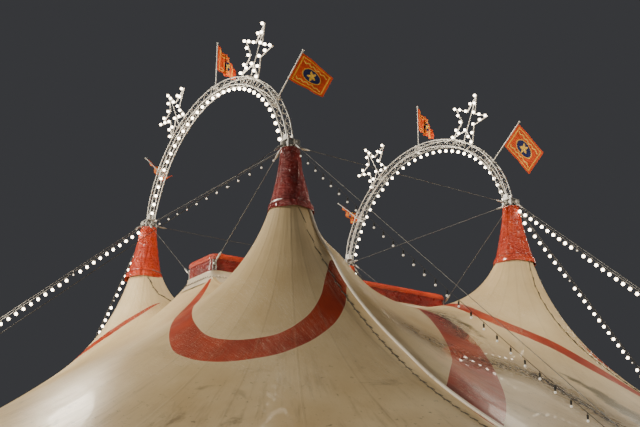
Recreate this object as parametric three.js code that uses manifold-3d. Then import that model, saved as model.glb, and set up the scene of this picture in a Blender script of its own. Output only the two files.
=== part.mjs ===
// A four-mast circus big top: a round tent whose sails hang from four king poles,
// with two illuminated lattice arches over the masts. Millimetres, +Z up, X along
// the arches, origin on the ground at the middle of the ring.
import * as THREE from "three";
import { mergeVertices } from "three/addons/utils/BufferGeometryUtils.js";
import Module from "manifold-3d";

const wasm = await Module();
wasm.setup();

// Driving dimensions.
const CLEARANCE = 0.3;
const MAST_X = 4500;
const MAST_Y = 4350;
const HEAD_HEIGHT = 12340;
const HEAD_WIDTH = 400;
const HEAD_BOX_HEIGHT = 270;
const MAST_WIDTH = 300;
const BASE_PLATE = 700;
const FRAME_HEIGHTS = [3500, 7000];
const RING_BELOW = 200;
const RING_ABOVE = 80;
const CHORD = 50;
const PLATE = 20;

const TENT_RADIUS = 14500;
const EAVE_HEIGHT = 3000;
const EAVE_HEM = 60;
const SAIL_PULL = 1730;
const SAIL_THICKNESS = 22;
const PEAK_RADIUS = 530;
const PEAK_LEAN = 0.385;
const RIDGE_LIFT = 270;
const RIDGE_OFFSET = 800;
const RIDGE_SPREAD = 700;
const NECK_HEIGHT = 9350;
const NECK_RUN = 800;

const CAP_LENGTH = 1840;
const CAP_TOP_RADIUS = 275;
const CAP_HEM_RADIUS = 640;
const CAP_WALL = 16;
const CAP_BAND = 170;
const CAP_WAIST = [[470, 620], [370, 1150]];

const ARCH_HALF_SPAN = 4380;
const ARCH_HALF_AXES = [4460, 3980];
const ARCH_FIRST_TURN = Math.acos(ARCH_HALF_SPAN / ARCH_HALF_AXES[0]);
const ARCH_WIDTH = 240;
const ARCH_FOOT_WIDTH = 200;
const FOOT_PLATE = 70;
const ARCH_SPRING = 40;
const ARCH_STATIONS = 16;
const ARCH_CHORD = 48;
const BRACE_RADIUS = 14;
const SADDLE = 60;

const FLAG_ANGLES = { east: 34, middle: 90, west: 146 };
const FLAG_POLE_REACH = 1650;
const FLAG_POLE_RADIUS = 20;
const FLAG_HOIST = 900;
const FLAG_FLY = 1300;
const FLAG_THICKNESS = 10;
const FLAG_TOP_GAP = 60;
const FLAG_RIPPLE = 60;
const KNOB_RADIUS = 38;
const STAR_ANGLES = { east: 59, west: 121 };
const STAR_RADIUS = 900;
const STAR_FRAME = 70;
const STAR_DEPTH = 90;
const STAR_STRUT = 40;
const STAR_FOOT = 80;

const CUPOLA_HALF_WIDTH = 870;
const CUPOLA_HALF_LENGTH = 4660;
const CUPOLA_FOOT = 9600;
const CUPOLA_EAVE = 10020;
const CUPOLA_RIDGE = 10270;
const CUPOLA_WALL = 50;
const ROOF_OVERHANG = 60;
const ROOF_RIM = 90;
const ROOF_EDGE = 40;
const HIP_RUN = 700;
const COLLAR_THICKNESS = 130;
const COLLAR_BELOW = 160;
const LUG_REACH = 70;
const LUG_WIDTH = 120;
const LUG_HEIGHT = 280;
const COLLAR_MARGIN = 80;

const CABLE_RADIUS = 16;
const STAY_RADIUS = 12;
const GUY_RUN = 14500;
const GUY_GROUND_HEIGHT = 260;
const ANCHOR_WIDTH = 160;
const ANCHOR_PLATE = 25;
const ANCHOR_POST = 60;
const STRING_DROP = 90;
const STRING_RADIUS = 10;
const STRING_TIES = 4;
const STRING_FROM = 0.03;
const STRING_TO = 0.9;
const TIE_HALF = 22;

const CURTAIN = 30;
const CURTAIN_INSET = 15;
const POLES_PER_WALL = 8;
const POLE_RADIUS = 35;
const DOOR_WIDTH = 3000;
const DOOR_HEIGHT = 2450;

// Strips of the sail between the corners of its quarter, and its rings from peak to edge.
const STRIPS = [3, 7, 3, 4, 8];
const SAIL_RINGS = 6;

// The height at which every cable meets the mast heads.
const BAND_HEIGHT = HEAD_HEIGHT + HEAD_BOX_HEIGHT / 2;
const HEAD_TOP = HEAD_HEIGHT + HEAD_BOX_HEIGHT;

// The stays' ends, on the mast heads and on the cupola wall's lugs.
const STAY_HEAD_Y = MAST_Y + 130;
const STAY_Y = CUPOLA_HALF_LENGTH - 130;
const STAY_FOOT = CUPOLA_EAVE - 180;

const radians = THREE.MathUtils.degToRad;
const vector = (x, y, z) => new THREE.Vector3(x, y, z);

// The way the wind blows the flags, drooping.
const FLAG_WIND = vector(0.05, 0.8, -0.58).normalize();

const tent = new THREE.Group();

// The corners of the mast square, by the signs of X and Y, named by compass side.
const MASTS = [
  { name: "southeast", sx: 1, sy: -1 },
  { name: "southwest", sx: -1, sy: -1 },
  { name: "northeast", sx: 1, sy: 1 },
  { name: "northwest", sx: -1, sy: 1 },
];

function material(color, roughness, metalness = 0) {
  return new THREE.MeshStandardMaterial({ color, roughness, metalness });
}

const paint = {
  steel: () => material(0xb9b7b2, 0.4, 0.9),
  cable: () => material(0x9a9a98, 0.5, 0.8),
  sail: () => material(0xd9cdbb, 0.45),
  curtain: () => material(0xc9402a, 0.5),
  red: () => material(0xb3261b, 0.35),
  orange: () => material(0xd24a2a, 0.4),
  white: () => material(0xe9e6df, 0.4, 0.2),
  flag: () => material(0xe0552f, 0.7),
};

function add(name, geometry, finish) {
  const mesh = new THREE.Mesh(geometry, finish());
  mesh.name = name;
  tent.add(mesh);
  return mesh;
}

// A closed geometry as a solid that can be cut and joined.
function solid(geometry) {
  const bare = geometry.clone();
  bare.deleteAttribute("normal");
  bare.deleteAttribute("uv");
  const merged = mergeVertices(bare, 1e-3);
  return new wasm.Manifold(new wasm.Mesh({
    numProp: 3,
    vertProperties: Float32Array.from(merged.attributes.position.array),
    triVerts: Uint32Array.from(merged.index.array),
  }));
}

function geometryOf(body) {
  const mesh = body.getMesh();
  const geometry = new THREE.BufferGeometry();
  geometry.setAttribute("position", new THREE.BufferAttribute(Float32Array.from(mesh.vertProperties), 3));
  geometry.setIndex(new THREE.BufferAttribute(Uint32Array.from(mesh.triVerts), 1));
  geometry.computeVertexNormals();
  return geometry;
}

const joined = (bodies) => wasm.Manifold.union(bodies);

function box(x0, x1, y0, y1, z0, z1) {
  const geometry = new THREE.BoxGeometry(x1 - x0, y1 - y0, z1 - z0);
  geometry.translate((x0 + x1) / 2, (y0 + y1) / 2, (z0 + z1) / 2);
  return solid(geometry);
}

// A rectangular frame, open inside.
function frameOf(halfX, halfY, thickness, z0, z1) {
  const [inX, inY] = [halfX - thickness, halfY - thickness];
  return box(-halfX, halfX, -halfY, halfY, z0, z1).subtract(box(-inX, inX, -inY, inY, z0 - 10, z1 + 10));
}

// A square upright.
function post(x, y, width, z0, z1) {
  return box(x - width / 2, x + width / 2, y - width / 2, y + width / 2, z0, z1);
}

// A straight bar of few sides between two points.
function bar(from, to, radius, sides = 4) {
  const run = new THREE.Vector3().subVectors(to, from);
  const geometry = new THREE.CylinderGeometry(radius, radius, run.length(), sides, 1);
  if (sides === 4) geometry.rotateY(Math.PI / 4);
  const turn = new THREE.Quaternion().setFromUnitVectors(new THREE.Vector3(0, 1, 0), run.clone().normalize());
  geometry.applyQuaternion(turn);
  const middle = new THREE.Vector3().addVectors(from, to).multiplyScalar(0.5);
  geometry.translate(middle.x, middle.y, middle.z);
  return solid(geometry);
}

// A solid between rings of the same number of points: closed at both ends, or in a loop.
function loft(rings, looped = false) {
  const count = rings[0].length;
  const positions = rings.flat().flatMap((point) => [point.x, point.y, point.z]);
  const faces = [];
  const last = looped ? rings.length : rings.length - 1;
  for (let ring = 0; ring < last; ring += 1) {
    const next = (ring + 1) % rings.length;
    for (let side = 0; side < count; side += 1) {
      const a = ring * count + side;
      const b = ring * count + (side + 1) % count;
      const c = next * count + (side + 1) % count;
      const d = next * count + side;
      faces.push(a, b, c, a, c, d);
    }
  }
  if (!looped) {
    const end = (rings.length - 1) * count;
    for (let side = 1; side < count - 1; side += 1) {
      faces.push(0, side + 1, side, end, end + side, end + side + 1);
    }
  }
  const geometry = new THREE.BufferGeometry();
  geometry.setAttribute("position", new THREE.Float32BufferAttribute(positions, 3));
  geometry.setIndex(faces);
  return facingOut(geometry);
}

// Turns the faces over where the volume comes out negative, as after a mirror.
function facingOut(geometry) {
  const index = geometry.index.array;
  const places = geometry.attributes.position;
  const point = (corner) => new THREE.Vector3().fromBufferAttribute(places, index[corner]);
  let volume = 0;
  for (let face = 0; face < index.length; face += 3) {
    volume += point(face).dot(point(face + 1).cross(point(face + 2)));
  }
  if (volume < 0) {
    for (let face = 0; face < index.length; face += 3) {
      [index[face + 1], index[face + 2]] = [index[face + 2], index[face + 1]];
    }
  }
  geometry.computeVertexNormals();
  return geometry;
}

function mirrored(geometry, sx, sy) {
  const copy = geometry.clone();
  copy.scale(sx, sy, 1);
  return facingOut(copy);
}

// The fold that each laced seam raises beyond its mast, a little towards the tent's middle.
function ridgeLift(x, y) {
  const { smoothstep } = THREE.MathUtils;
  const beyond = Math.abs(x) - MAST_X;
  const aside = MAST_Y - Math.abs(y);
  const along = smoothstep(beyond, -600, 600) * (1 - smoothstep(beyond, 4000, 9000));
  const free = smoothstep(Math.hypot(beyond, aside), 800, 1500);
  return RIDGE_LIFT * along * free * Math.exp(-(((aside - RIDGE_OFFSET) / RIDGE_SPREAD) ** 2));
}

// The sail's height: each mast pulls a peak up out of a round eave, the logarithm that a
// stretched membrane takes, level where the peak's ring holds it, the laced seams raise
// their folds, and the cupola lifts a neck along the middle.
function sailHeight(x, y) {
  let height = EAVE_HEIGHT;
  for (const { sx, sy } of MASTS) {
    const mx = sx * MAST_X;
    const my = sy * MAST_Y;
    const reach = Math.hypot(mx, my);
    const image = (TENT_RADIUS / reach) ** 2;
    const near = Math.hypot(x - mx, y - my);
    const far = Math.hypot(x - image * mx, y - image * my);
    height += SAIL_PULL * Math.log((reach / TENT_RADIUS) * (far / near));
    const outward = ((x - mx) * sx + (y - my) * sy) * Math.SQRT1_2;
    height += PEAK_LEAN * outward * (PEAK_RADIUS / near) ** 2;
  }
  height += ridgeLift(x, y);
  const outX = Math.max(Math.abs(x) - CUPOLA_HALF_WIDTH - COLLAR_MARGIN, 0);
  const outY = Math.max(Math.abs(y) - CUPOLA_HALF_LENGTH - COLLAR_MARGIN, 0);
  return height + (NECK_HEIGHT - height) * Math.exp(-Math.hypot(outX, outY) / NECK_RUN);
}

function sailSlope(x, y) {
  const step = 5;
  const alongX = (sailHeight(x + step, y) - sailHeight(x - step, y)) / (2 * step);
  const alongY = (sailHeight(x, y + step) - sailHeight(x, y - step)) / (2 * step);
  return Math.hypot(alongX, alongY);
}

// Directions of the sail's strips round the southeast mast, with one at each corner of the
// quarter: the eave's two ends and the middle of the tent.
function stripAngles() {
  const corners = [
    Math.atan2(MAST_Y, TENT_RADIUS - MAST_X),
    Math.atan2(MAST_Y, -MAST_X),
    Math.PI,
    Math.atan2(MAST_Y - TENT_RADIUS, -MAST_X) + 2 * Math.PI,
    2 * Math.PI,
  ];
  const angles = [];
  let from = corners.at(-1) - 2 * Math.PI;
  corners.forEach((to, turn) => {
    const count = STRIPS[turn];
    for (let strip = 0; strip < count; strip += 1) angles.push(from + ((to - from) * strip) / count);
    from = to;
  });
  return angles;
}

// How far the southeast quarter runs from its mast in a direction, to the eave or a middle line.
function sailReach(angle) {
  const ux = Math.cos(angle);
  const uy = Math.sin(angle);
  const along = MAST_X * ux - MAST_Y * uy;
  const round = -along + Math.sqrt(along ** 2 - MAST_X ** 2 - MAST_Y ** 2 + TENT_RADIUS ** 2);
  const toMiddleX = ux < 0 ? (MAST_X - CLEARANCE / 2) / -ux : Infinity;
  const toMiddleY = uy > 0 ? (MAST_Y - CLEARANCE / 2) / uy : Infinity;
  return Math.min(round, toMiddleX, toMiddleY);
}

function sailRing(step, inset, angles) {
  return angles.map((angle) => {
    const reach = sailReach(angle);
    const radius = PEAK_RADIUS * (reach / PEAK_RADIUS) ** (step / SAIL_RINGS);
    const x = MAST_X + radius * Math.cos(angle);
    const y = -MAST_Y + radius * Math.sin(angle);
    const atEave = step === SAIL_RINGS && Math.hypot(x, y) > TENT_RADIUS - 1;
    const depth = atEave ? EAVE_HEM : SAIL_THICKNESS * Math.hypot(1, sailSlope(x, y));
    const height = atEave ? EAVE_HEIGHT : sailHeight(x, y);
    return new THREE.Vector3(x, y, height - (inset ? depth : 0));
  });
}

function addSails() {
  const angles = stripAngles();
  const rings = [];
  for (let step = 0; step <= SAIL_RINGS; step += 1) rings.push(sailRing(step, false, angles));
  for (let step = SAIL_RINGS; step >= 0; step -= 1) rings.push(sailRing(step, true, angles));
  const hole = box(
    -CUPOLA_HALF_WIDTH - COLLAR_MARGIN, CUPOLA_HALF_WIDTH + COLLAR_MARGIN,
    -CUPOLA_HALF_LENGTH - COLLAR_MARGIN, CUPOLA_HALF_LENGTH + COLLAR_MARGIN,
    NECK_HEIGHT - 1500, NECK_HEIGHT + 1000,
  );
  const quarter = geometryOf(solid(loft(rings, true)).subtract(hole));
  for (const { name, sx, sy } of MASTS) add(`sail_${name}`, mirrored(quarter, sx, -sy), paint.sail);
}

// The lifting ring that the sail's peak hangs on, with its corners under the sail's own.
function liftingRing() {
  const middle = sailHeight(MAST_X + PEAK_RADIUS, -MAST_Y);
  const ring = (radius, height) => stripAngles().map((angle) => new THREE.Vector3(
    radius * Math.cos(angle), radius * Math.sin(angle), height,
  ));
  const outer = PEAK_RADIUS - CLEARANCE;
  const inner = outer - CHORD;
  const low = middle - RING_BELOW;
  const high = middle + RING_ABOVE;
  const shape = loft([ring(outer, low), ring(outer, high), ring(inner, high), ring(inner, low)], true);
  return [shape, (low + high) / 2];
}

function mastGeometry() {
  const half = MAST_WIDTH / 2;
  const headHalf = HEAD_WIDTH / 2;
  const base = BASE_PLATE / 2;
  const bodies = [
    box(-base, base, -base, base, 0, PLATE),
    box(-headHalf, headHalf, -headHalf, headHalf, HEAD_HEIGHT, HEAD_HEIGHT + PLATE),
    box(-headHalf, headHalf, -headHalf, headHalf, HEAD_TOP - PLATE, HEAD_TOP),
  ];
  for (const x of [-1, 1]) {
    for (const y of [-1, 1]) {
      bodies.push(post(x * half, y * half, CHORD, PLATE / 2, HEAD_HEIGHT + PLATE / 2));
      const corner = headHalf - CHORD / 2;
      bodies.push(post(x * corner, y * corner, CHORD, HEAD_HEIGHT + PLATE / 2, HEAD_TOP - PLATE / 2));
    }
  }
  // The bands round the head box that the cables pull on.
  bodies.push(frameOf(headHalf, headHalf, CHORD, BAND_HEIGHT - 35, BAND_HEIGHT + 35));
  const [ring, spokeHeight] = liftingRing();
  bodies.push(solid(ring));
  const reach = PEAK_RADIUS - CHORD / 2;
  const spoke = CHORD / 2;
  bodies.push(box(-reach, reach, -spoke, spoke, spokeHeight - spoke, spokeHeight + spoke));
  bodies.push(box(-spoke, spoke, -reach, reach, spokeHeight - spoke, spokeHeight + spoke));
  for (const height of [...FRAME_HEIGHTS, spokeHeight]) {
    bodies.push(frameOf(half, half, CHORD - 10, height - PLATE, height + PLATE));
  }
  return geometryOf(joined(bodies));
}

function addMasts() {
  const shape = mastGeometry();
  for (const { name, sx, sy } of MASTS) {
    add(`mast_${name}`, mirrored(shape, sx, -sy), paint.steel).position.set(sx * MAST_X, sy * MAST_Y, 0);
  }
}

// The red cap that closes each peak, flared over the sail at its hem.
function addCaps() {
  const hem = -CAP_LENGTH;
  const outside = [
    [CAP_HEM_RADIUS, hem],
    [CAP_HEM_RADIUS - 25, hem + CAP_BAND],
    ...CAP_WAIST.map(([radius, height]) => [radius, hem + height]),
    [CAP_TOP_RADIUS, -CLEARANCE],
  ];
  const profile = outside.map(([radius, height]) => new THREE.Vector2(radius, height));
  for (const { x, y } of profile.toReversed()) profile.push(new THREE.Vector2(x - CAP_WALL, y));
  profile.push(profile[0].clone());
  const shape = new THREE.LatheGeometry(profile, 16);
  shape.rotateX(Math.PI / 2);
  const upright = facingOut(mergedOnly(shape));
  for (const { name, sx, sy } of MASTS) {
    add(`cap_${name}`, upright.clone(), paint.red).position.set(sx * MAST_X, sy * MAST_Y, HEAD_HEIGHT);
  }
}

function mergedOnly(geometry) {
  geometry.deleteAttribute("normal");
  geometry.deleteAttribute("uv");
  return mergeVertices(geometry, 1e-3);
}

// A point of the arch, which is the upper part of an ellipse, measured out from its centre
// line and across it.
function archPoint(turn, out, across) {
  const [run, rise] = ARCH_HALF_AXES;
  const normal = archNormal(turn);
  return vector(
    run * Math.cos(turn) + normal.x * out,
    across,
    HEAD_TOP + ARCH_SPRING + rise * (Math.sin(turn) - Math.sin(ARCH_FIRST_TURN)) + normal.z * out,
  );
}

function archNormal(turn) {
  const [run, rise] = ARCH_HALF_AXES;
  return vector(Math.cos(turn) / run, 0, Math.sin(turn) / rise).normalize();
}

function archTurn(station) {
  return THREE.MathUtils.lerp(ARCH_FIRST_TURN, Math.PI - ARCH_FIRST_TURN, station / ARCH_STATIONS);
}

// The truss keeps its width but for one bay at each foot.
function archHalfWidth(station) {
  const fromFoot = Math.min(station, ARCH_STATIONS - station, 1);
  return THREE.MathUtils.lerp(ARCH_FOOT_WIDTH, ARCH_WIDTH, fromFoot) / 2;
}

function chordPoint(station, side, across) {
  const half = archHalfWidth(station);
  return archPoint(archTurn(station), side * half, across * half);
}

function chord(side, across) {
  const half = ARCH_CHORD / 2;
  const section = [[-half, -half], [half, -half], [half, half], [-half, half]];
  const rings = [];
  for (let station = 0; station <= ARCH_STATIONS; station += 1) {
    const normal = archNormal(archTurn(station));
    const centre = chordPoint(station, side, across);
    rings.push(section.map(([out, over]) => vector(
      centre.x + normal.x * out, centre.y + over, centre.z + normal.z * out,
    )));
  }
  return solid(loft(rings));
}

// Four chords with a zigzag on both faces, crossbars, feet, saddles and flagpoles.
function archGeometry() {
  const sides = [[1, -1], [1, 1], [-1, 1], [-1, -1]];
  const bodies = sides.map(([side, across]) => chord(side, across));
  for (let station = 0; station < ARCH_STATIONS; station += 1) {
    const side = station % 2 ? 1 : -1;
    const brace = (from, to) => bodies.push(bar(from, to, BRACE_RADIUS, 3));
    for (const across of [-1, 1]) {
      brace(chordPoint(station, side, across), chordPoint(station + 1, -side, across));
    }
    if (station) brace(chordPoint(station, side, -1), chordPoint(station, side, 1));
  }
  const foot = (ARCH_FOOT_WIDTH + ARCH_CHORD) / 2;
  const ground = HEAD_TOP + CLEARANCE;
  for (const side of [-1, 1]) {
    const x = side * ARCH_HALF_SPAN;
    bodies.push(box(x - foot, x + foot, -foot, foot, ground, ground + FOOT_PLATE));
  }
  for (const angle of Object.values(STAR_ANGLES)) bodies.push(saddle(angle));
  for (const angle of Object.values(FLAG_ANGLES)) {
    const turn = radians(angle);
    const inner = -ARCH_WIDTH / 2;
    const knob = new THREE.SphereGeometry(KNOB_RADIUS, 6, 4);
    const at = archPoint(turn, ARCH_WIDTH / 2 + FLAG_POLE_REACH, 0);
    knob.translate(at.x, at.y, at.z);
    bodies.push(saddle(angle), flagPole(turn, FLAG_POLE_RADIUS), solid(knob));
    bodies.push(bar(archPoint(turn, inner, inner), archPoint(turn, inner, -inner), ARCH_CHORD / 2));
  }
  return geometryOf(joined(bodies));
}

// A crossbar over the two outer chords that a star or a flagpole stands on.
function saddle(angle) {
  const geometry = new THREE.BoxGeometry(SADDLE, ARCH_WIDTH + SADDLE, SADDLE);
  return solid(standing(geometry, radians(angle), ARCH_WIDTH / 2));
}

// Moves a geometry onto the arch, its own Z pointing out from the arch's middle.
function standing(geometry, turn, out) {
  const normal = archNormal(turn);
  const at = archPoint(turn, out, 0);
  geometry.rotateY(Math.atan2(normal.x, normal.z));
  geometry.translate(at.x, at.y, at.z);
  return geometry;
}

// The ten corners of a five-pointed star, its tip up.
function starCorners(radius) {
  const notch = Math.cos(radians(72)) / Math.cos(radians(36));
  return Array.from({ length: 10 }, (_, corner) => {
    const turn = radians(90 + 36 * corner);
    const reach = corner % 2 ? radius * notch : radius;
    return new THREE.Vector2(reach * Math.cos(turn), reach * Math.sin(turn));
  });
}

// A star's outline on its foot, with a strut up the back to its tip.
function starGeometry(angle) {
  const shape = new THREE.Shape(starCorners(STAR_RADIUS));
  shape.holes.push(new THREE.Path(starCorners(STAR_RADIUS - STAR_FRAME / Math.sin(radians(18)))));
  const middle = STAR_RADIUS * Math.cos(radians(36));
  const outline = new THREE.ExtrudeGeometry(shape, { depth: STAR_DEPTH, bevelEnabled: false });
  outline.translate(0, middle, -STAR_DEPTH / 2);
  outline.rotateX(Math.PI / 2);
  const half = STAR_STRUT / 2;
  const strut = box(-half, half, -half, half, -STAR_FOOT, middle + STAR_RADIUS - STAR_FRAME);
  const foot = box(-half, half, -ARCH_WIDTH / 2, ARCH_WIDTH / 2, -STAR_FOOT, half - STAR_FOOT);
  const star = geometryOf(joined([solid(outline), strut, foot]));
  return standing(star, radians(angle), (ARCH_WIDTH + SADDLE) / 2 + STAR_FOOT + CLEARANCE);
}

function flagPole(turn, radius) {
  const half = ARCH_WIDTH / 2;
  return bar(archPoint(turn, -half, 0), archPoint(turn, half + FLAG_POLE_REACH, 0), radius, 6);
}

// A flag hung from its pole, blown towards +Y and drooping, rippled along its fly.
function flagGeometry(angle) {
  const turn = radians(angle);
  const hoistTop = ARCH_WIDTH / 2 + FLAG_POLE_REACH - FLAG_TOP_GAP;
  const side = new THREE.Vector3().crossVectors(FLAG_WIND, archNormal(turn)).normalize();
  const steps = 5;
  const rings = [];
  for (let step = 0; step <= steps; step += 1) {
    const share = step / steps;
    const ripple = FLAG_RIPPLE * Math.sin(share * 2 * Math.PI) * share;
    rings.push([[0, 1], [0, -1], [1, -1], [1, 1]].map(([down, over]) => (
      archPoint(turn, hoistTop - down * FLAG_HOIST, 0)
        .addScaledVector(FLAG_WIND, share * FLAG_FLY)
        .addScaledVector(side, ripple + (over * FLAG_THICKNESS) / 2)
    )));
  }
  return geometryOf(solid(loft(rings)).subtract(flagPole(turn, FLAG_POLE_RADIUS + CLEARANCE)));
}

function addArches() {
  const shape = archGeometry();
  for (const [name, sy] of [["south", -1], ["north", 1]]) {
    const place = (node, geometry, finish) => {
      add(node, geometry, finish).position.y = sy * MAST_Y;
    };
    place(`arch_${name}`, shape.clone(), paint.white);
    for (const [side, angle] of Object.entries(STAR_ANGLES)) {
      place(`star_${name}${side}`, starGeometry(angle), paint.white);
    }
    for (const [side, angle] of Object.entries(FLAG_ANGLES)) {
      place(`flag_${name}_${side}`, flagGeometry(angle), paint.flag);
    }
  }
}

// The ridge cupola: a cream collar in the sails, a red wall and a low hipped roof.
function hipRoof(grow, drop) {
  const halfX = CUPOLA_HALF_WIDTH + ROOF_OVERHANG + grow;
  const halfY = CUPOLA_HALF_LENGTH + ROOF_OVERHANG + grow;
  const low = CUPOLA_EAVE + CLEARANCE - drop;
  const ring = (x, y, z) => [vector(-x, -y, z), vector(x, -y, z), vector(x, y, z), vector(-x, y, z)];
  return solid(loft([
    ring(halfX, halfY, low),
    ring(halfX, halfY, low + ROOF_EDGE),
    ring(ROOF_OVERHANG, halfY - HIP_RUN, CUPOLA_RIDGE - drop),
  ]));
}

function addCupola() {
  const collar = CUPOLA_HALF_WIDTH + COLLAR_MARGIN - CLEARANCE;
  const collarLength = CUPOLA_HALF_LENGTH + COLLAR_MARGIN - CLEARANCE;
  const collarFoot = NECK_HEIGHT - COLLAR_BELOW;
  const ring = frameOf(collar, collarLength, COLLAR_THICKNESS, collarFoot, CUPOLA_FOOT);
  add("cupola_collar", geometryOf(ring), paint.sail);
  const foot = CUPOLA_FOOT + CLEARANCE;
  const wall = [frameOf(CUPOLA_HALF_WIDTH, CUPOLA_HALF_LENGTH, CUPOLA_WALL, foot, CUPOLA_EAVE)];
  for (const { sx, sy } of MASTS) {
    const x = sx * CUPOLA_HALF_WIDTH;
    const y = sy * STAY_Y;
    const half = LUG_WIDTH / 2;
    wall.push(box(
      Math.min(x, x + sx * LUG_REACH), Math.max(x, x + sx * LUG_REACH), y - half, y + half,
      STAY_FOOT - LUG_HEIGHT / 2, STAY_FOOT + LUG_HEIGHT / 2,
    ));
  }
  add("cupola_wall", geometryOf(joined(wall)), paint.red);
  add("cupola_roof", geometryOf(hipRoof(0, 0).subtract(hipRoof(-ROOF_RIM, ROOF_EDGE - 10))), paint.orange);
}

// A straight cable between two flat faces that are both square to X or to Y.
function cable(from, to, radius, squareTo = "x") {
  const corners = [[-radius, -radius], [radius, -radius], [radius, radius], [-radius, radius]];
  return loft([from, to].map((end) => corners.map(([across, up]) => (
    squareTo === "x" ? vector(end.x, end.y + across, end.z + up) : vector(end.x + across, end.y, end.z + up)
  ))));
}

function addCables() {
  const face = HEAD_WIDTH / 2 + CLEARANCE;
  for (const { name, sx, sy } of MASTS) {
    const from = vector(sx * (MAST_X - face), sy * STAY_HEAD_Y, BAND_HEIGHT);
    const to = vector(sx * (CUPOLA_HALF_WIDTH + LUG_REACH + CLEARANCE), sy * STAY_Y, STAY_FOOT);
    add(`cupola_stay_${name}`, cable(from, to, STAY_RADIUS), paint.cable);
  }
  const endX = MAST_X - face;
  const endY = MAST_Y - face;
  for (const [name, sign] of [["south", -1], ["north", 1]]) {
    const y = sign * MAST_Y;
    const tie = cable(vector(-endX, y, BAND_HEIGHT), vector(endX, y, BAND_HEIGHT), CABLE_RADIUS);
    add(`tie_${name}`, tie, paint.cable);
  }
  for (const [name, sign] of [["west", -1], ["east", 1]]) {
    const x = sign * MAST_X;
    const tie = cable(vector(x, -endY, BAND_HEIGHT), vector(x, endY, BAND_HEIGHT), CABLE_RADIUS, "y");
    add(`tie_${name}`, tie, paint.cable);
  }
}

// A guy from the head band out to a ground anchor, with the bulb string tied below it.
function guyGeometry(outward) {
  const face = HEAD_WIDTH / 2 + CLEARANCE;
  const at = (share, drop) => {
    const run = THREE.MathUtils.lerp(face, GUY_RUN, share);
    const height = THREE.MathUtils.lerp(BAND_HEIGHT, GUY_GROUND_HEIGHT, share) - drop;
    return outward === "x" ? vector(run, 0, height) : vector(0, run, height);
  };
  const bodies = [
    solid(cable(at(0, 0), at(1, 0), CABLE_RADIUS, outward)),
    solid(cable(at(STRING_FROM, STRING_DROP), at(STRING_TO, STRING_DROP), STRING_RADIUS, outward)),
  ];
  for (let tie = 0; tie < STRING_TIES; tie += 1) {
    const share = STRING_FROM + 0.01 + ((STRING_TO - STRING_FROM - 0.02) * tie) / (STRING_TIES - 1);
    const { x, y, z } = at(share, 0);
    bodies.push(post(x, y, 2 * TIE_HALF, z - STRING_DROP - 2 * TIE_HALF, z + 2 * TIE_HALF));
  }
  const { x, y } = at(1, 0);
  bodies.push(post(x, y, ANCHOR_WIDTH, 0, ANCHOR_PLATE));
  bodies.push(post(x, y, ANCHOR_POST, ANCHOR_PLATE / 2, GUY_GROUND_HEIGHT + ANCHOR_POST));
  return geometryOf(joined(bodies));
}

function addGuys() {
  for (const outward of ["x", "y"]) {
    const shape = guyGeometry(outward);
    for (const { name, sx, sy } of MASTS) {
      const end = outward === "x" ? "side" : "end";
      const guy = add(`guy_${name}_${end}`, mirrored(shape, sx, sy), paint.cable);
      guy.position.set(sx * MAST_X, sy * MAST_Y, 0);
    }
  }
}

// The curtain wall in four quarters, each with its side poles, and the doorway facing -Y.
function wallQuarter(from, to) {
  const outer = TENT_RADIUS - CURTAIN_INSET;
  const top = EAVE_HEIGHT - EAVE_HEM - CLEARANCE;
  const steps = POLES_PER_WALL;
  const rings = [];
  for (let step = 0; step <= steps; step += 1) {
    const angle = THREE.MathUtils.lerp(from, to, step / steps);
    const at = (radius, z) => vector(radius * Math.cos(angle), radius * Math.sin(angle), z);
    rings.push([at(outer, 0), at(outer, top), at(outer - CURTAIN, top), at(outer - CURTAIN, 0)]);
  }
  const bodies = [solid(loft(rings))];
  for (let pole = 0; pole < steps; pole += 1) {
    const angle = THREE.MathUtils.lerp(from, to, (pole + 0.5) / steps);
    const sag = outer * Math.cos((to - from) / steps / 2) - CURTAIN - POLE_RADIUS + 5;
    const foot = vector(sag * Math.cos(angle), sag * Math.sin(angle), 0);
    bodies.push(bar(foot, foot.clone().setZ(top - 40), POLE_RADIUS, 6));
  }
  return geometryOf(joined(bodies));
}

function addWalls() {
  const door = Math.asin(DOOR_WIDTH / 2 / TENT_RADIUS);
  const joint = CLEARANCE / 2 / TENT_RADIUS;
  const quarter = Math.PI / 2;
  const spans = [
    ["southeast", -quarter + door, -joint],
    ["northeast", joint, quarter - joint],
    ["northwest", quarter + joint, 2 * quarter - joint],
    ["southwest", 2 * quarter + joint, 3 * quarter - door],
  ];
  for (const [name, from, to] of spans) add(`side_wall_${name}`, wallQuarter(from, to), paint.curtain);
  const over = loft([-quarter - door + 2 * joint, -quarter + door - 2 * joint].map((angle) => {
    const outer = TENT_RADIUS - CURTAIN_INSET;
    const top = EAVE_HEIGHT - EAVE_HEM - CLEARANCE;
    const at = (radius, z) => vector(radius * Math.cos(angle), radius * Math.sin(angle), z);
    const inner = outer - CURTAIN;
    return [at(outer, DOOR_HEIGHT), at(outer, top), at(inner, top), at(inner, DOOR_HEIGHT)];
  }));
  add("doorway_header", over, paint.curtain);
}

addMasts();
addSails();
addCaps();
addArches();
addCupola();
addCables();
addGuys();
addWalls();

export default tent;
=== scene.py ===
"""A four-mast circus big top with two lit arches over its masts.

Metres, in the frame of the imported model: +X along the arches, +Y along the ridge cupola,
+Z up, the origin on the ground at the middle of the ring.
"""
import math

import bmesh
import bpy
import numpy as np
from mathutils import Matrix, Vector


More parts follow.
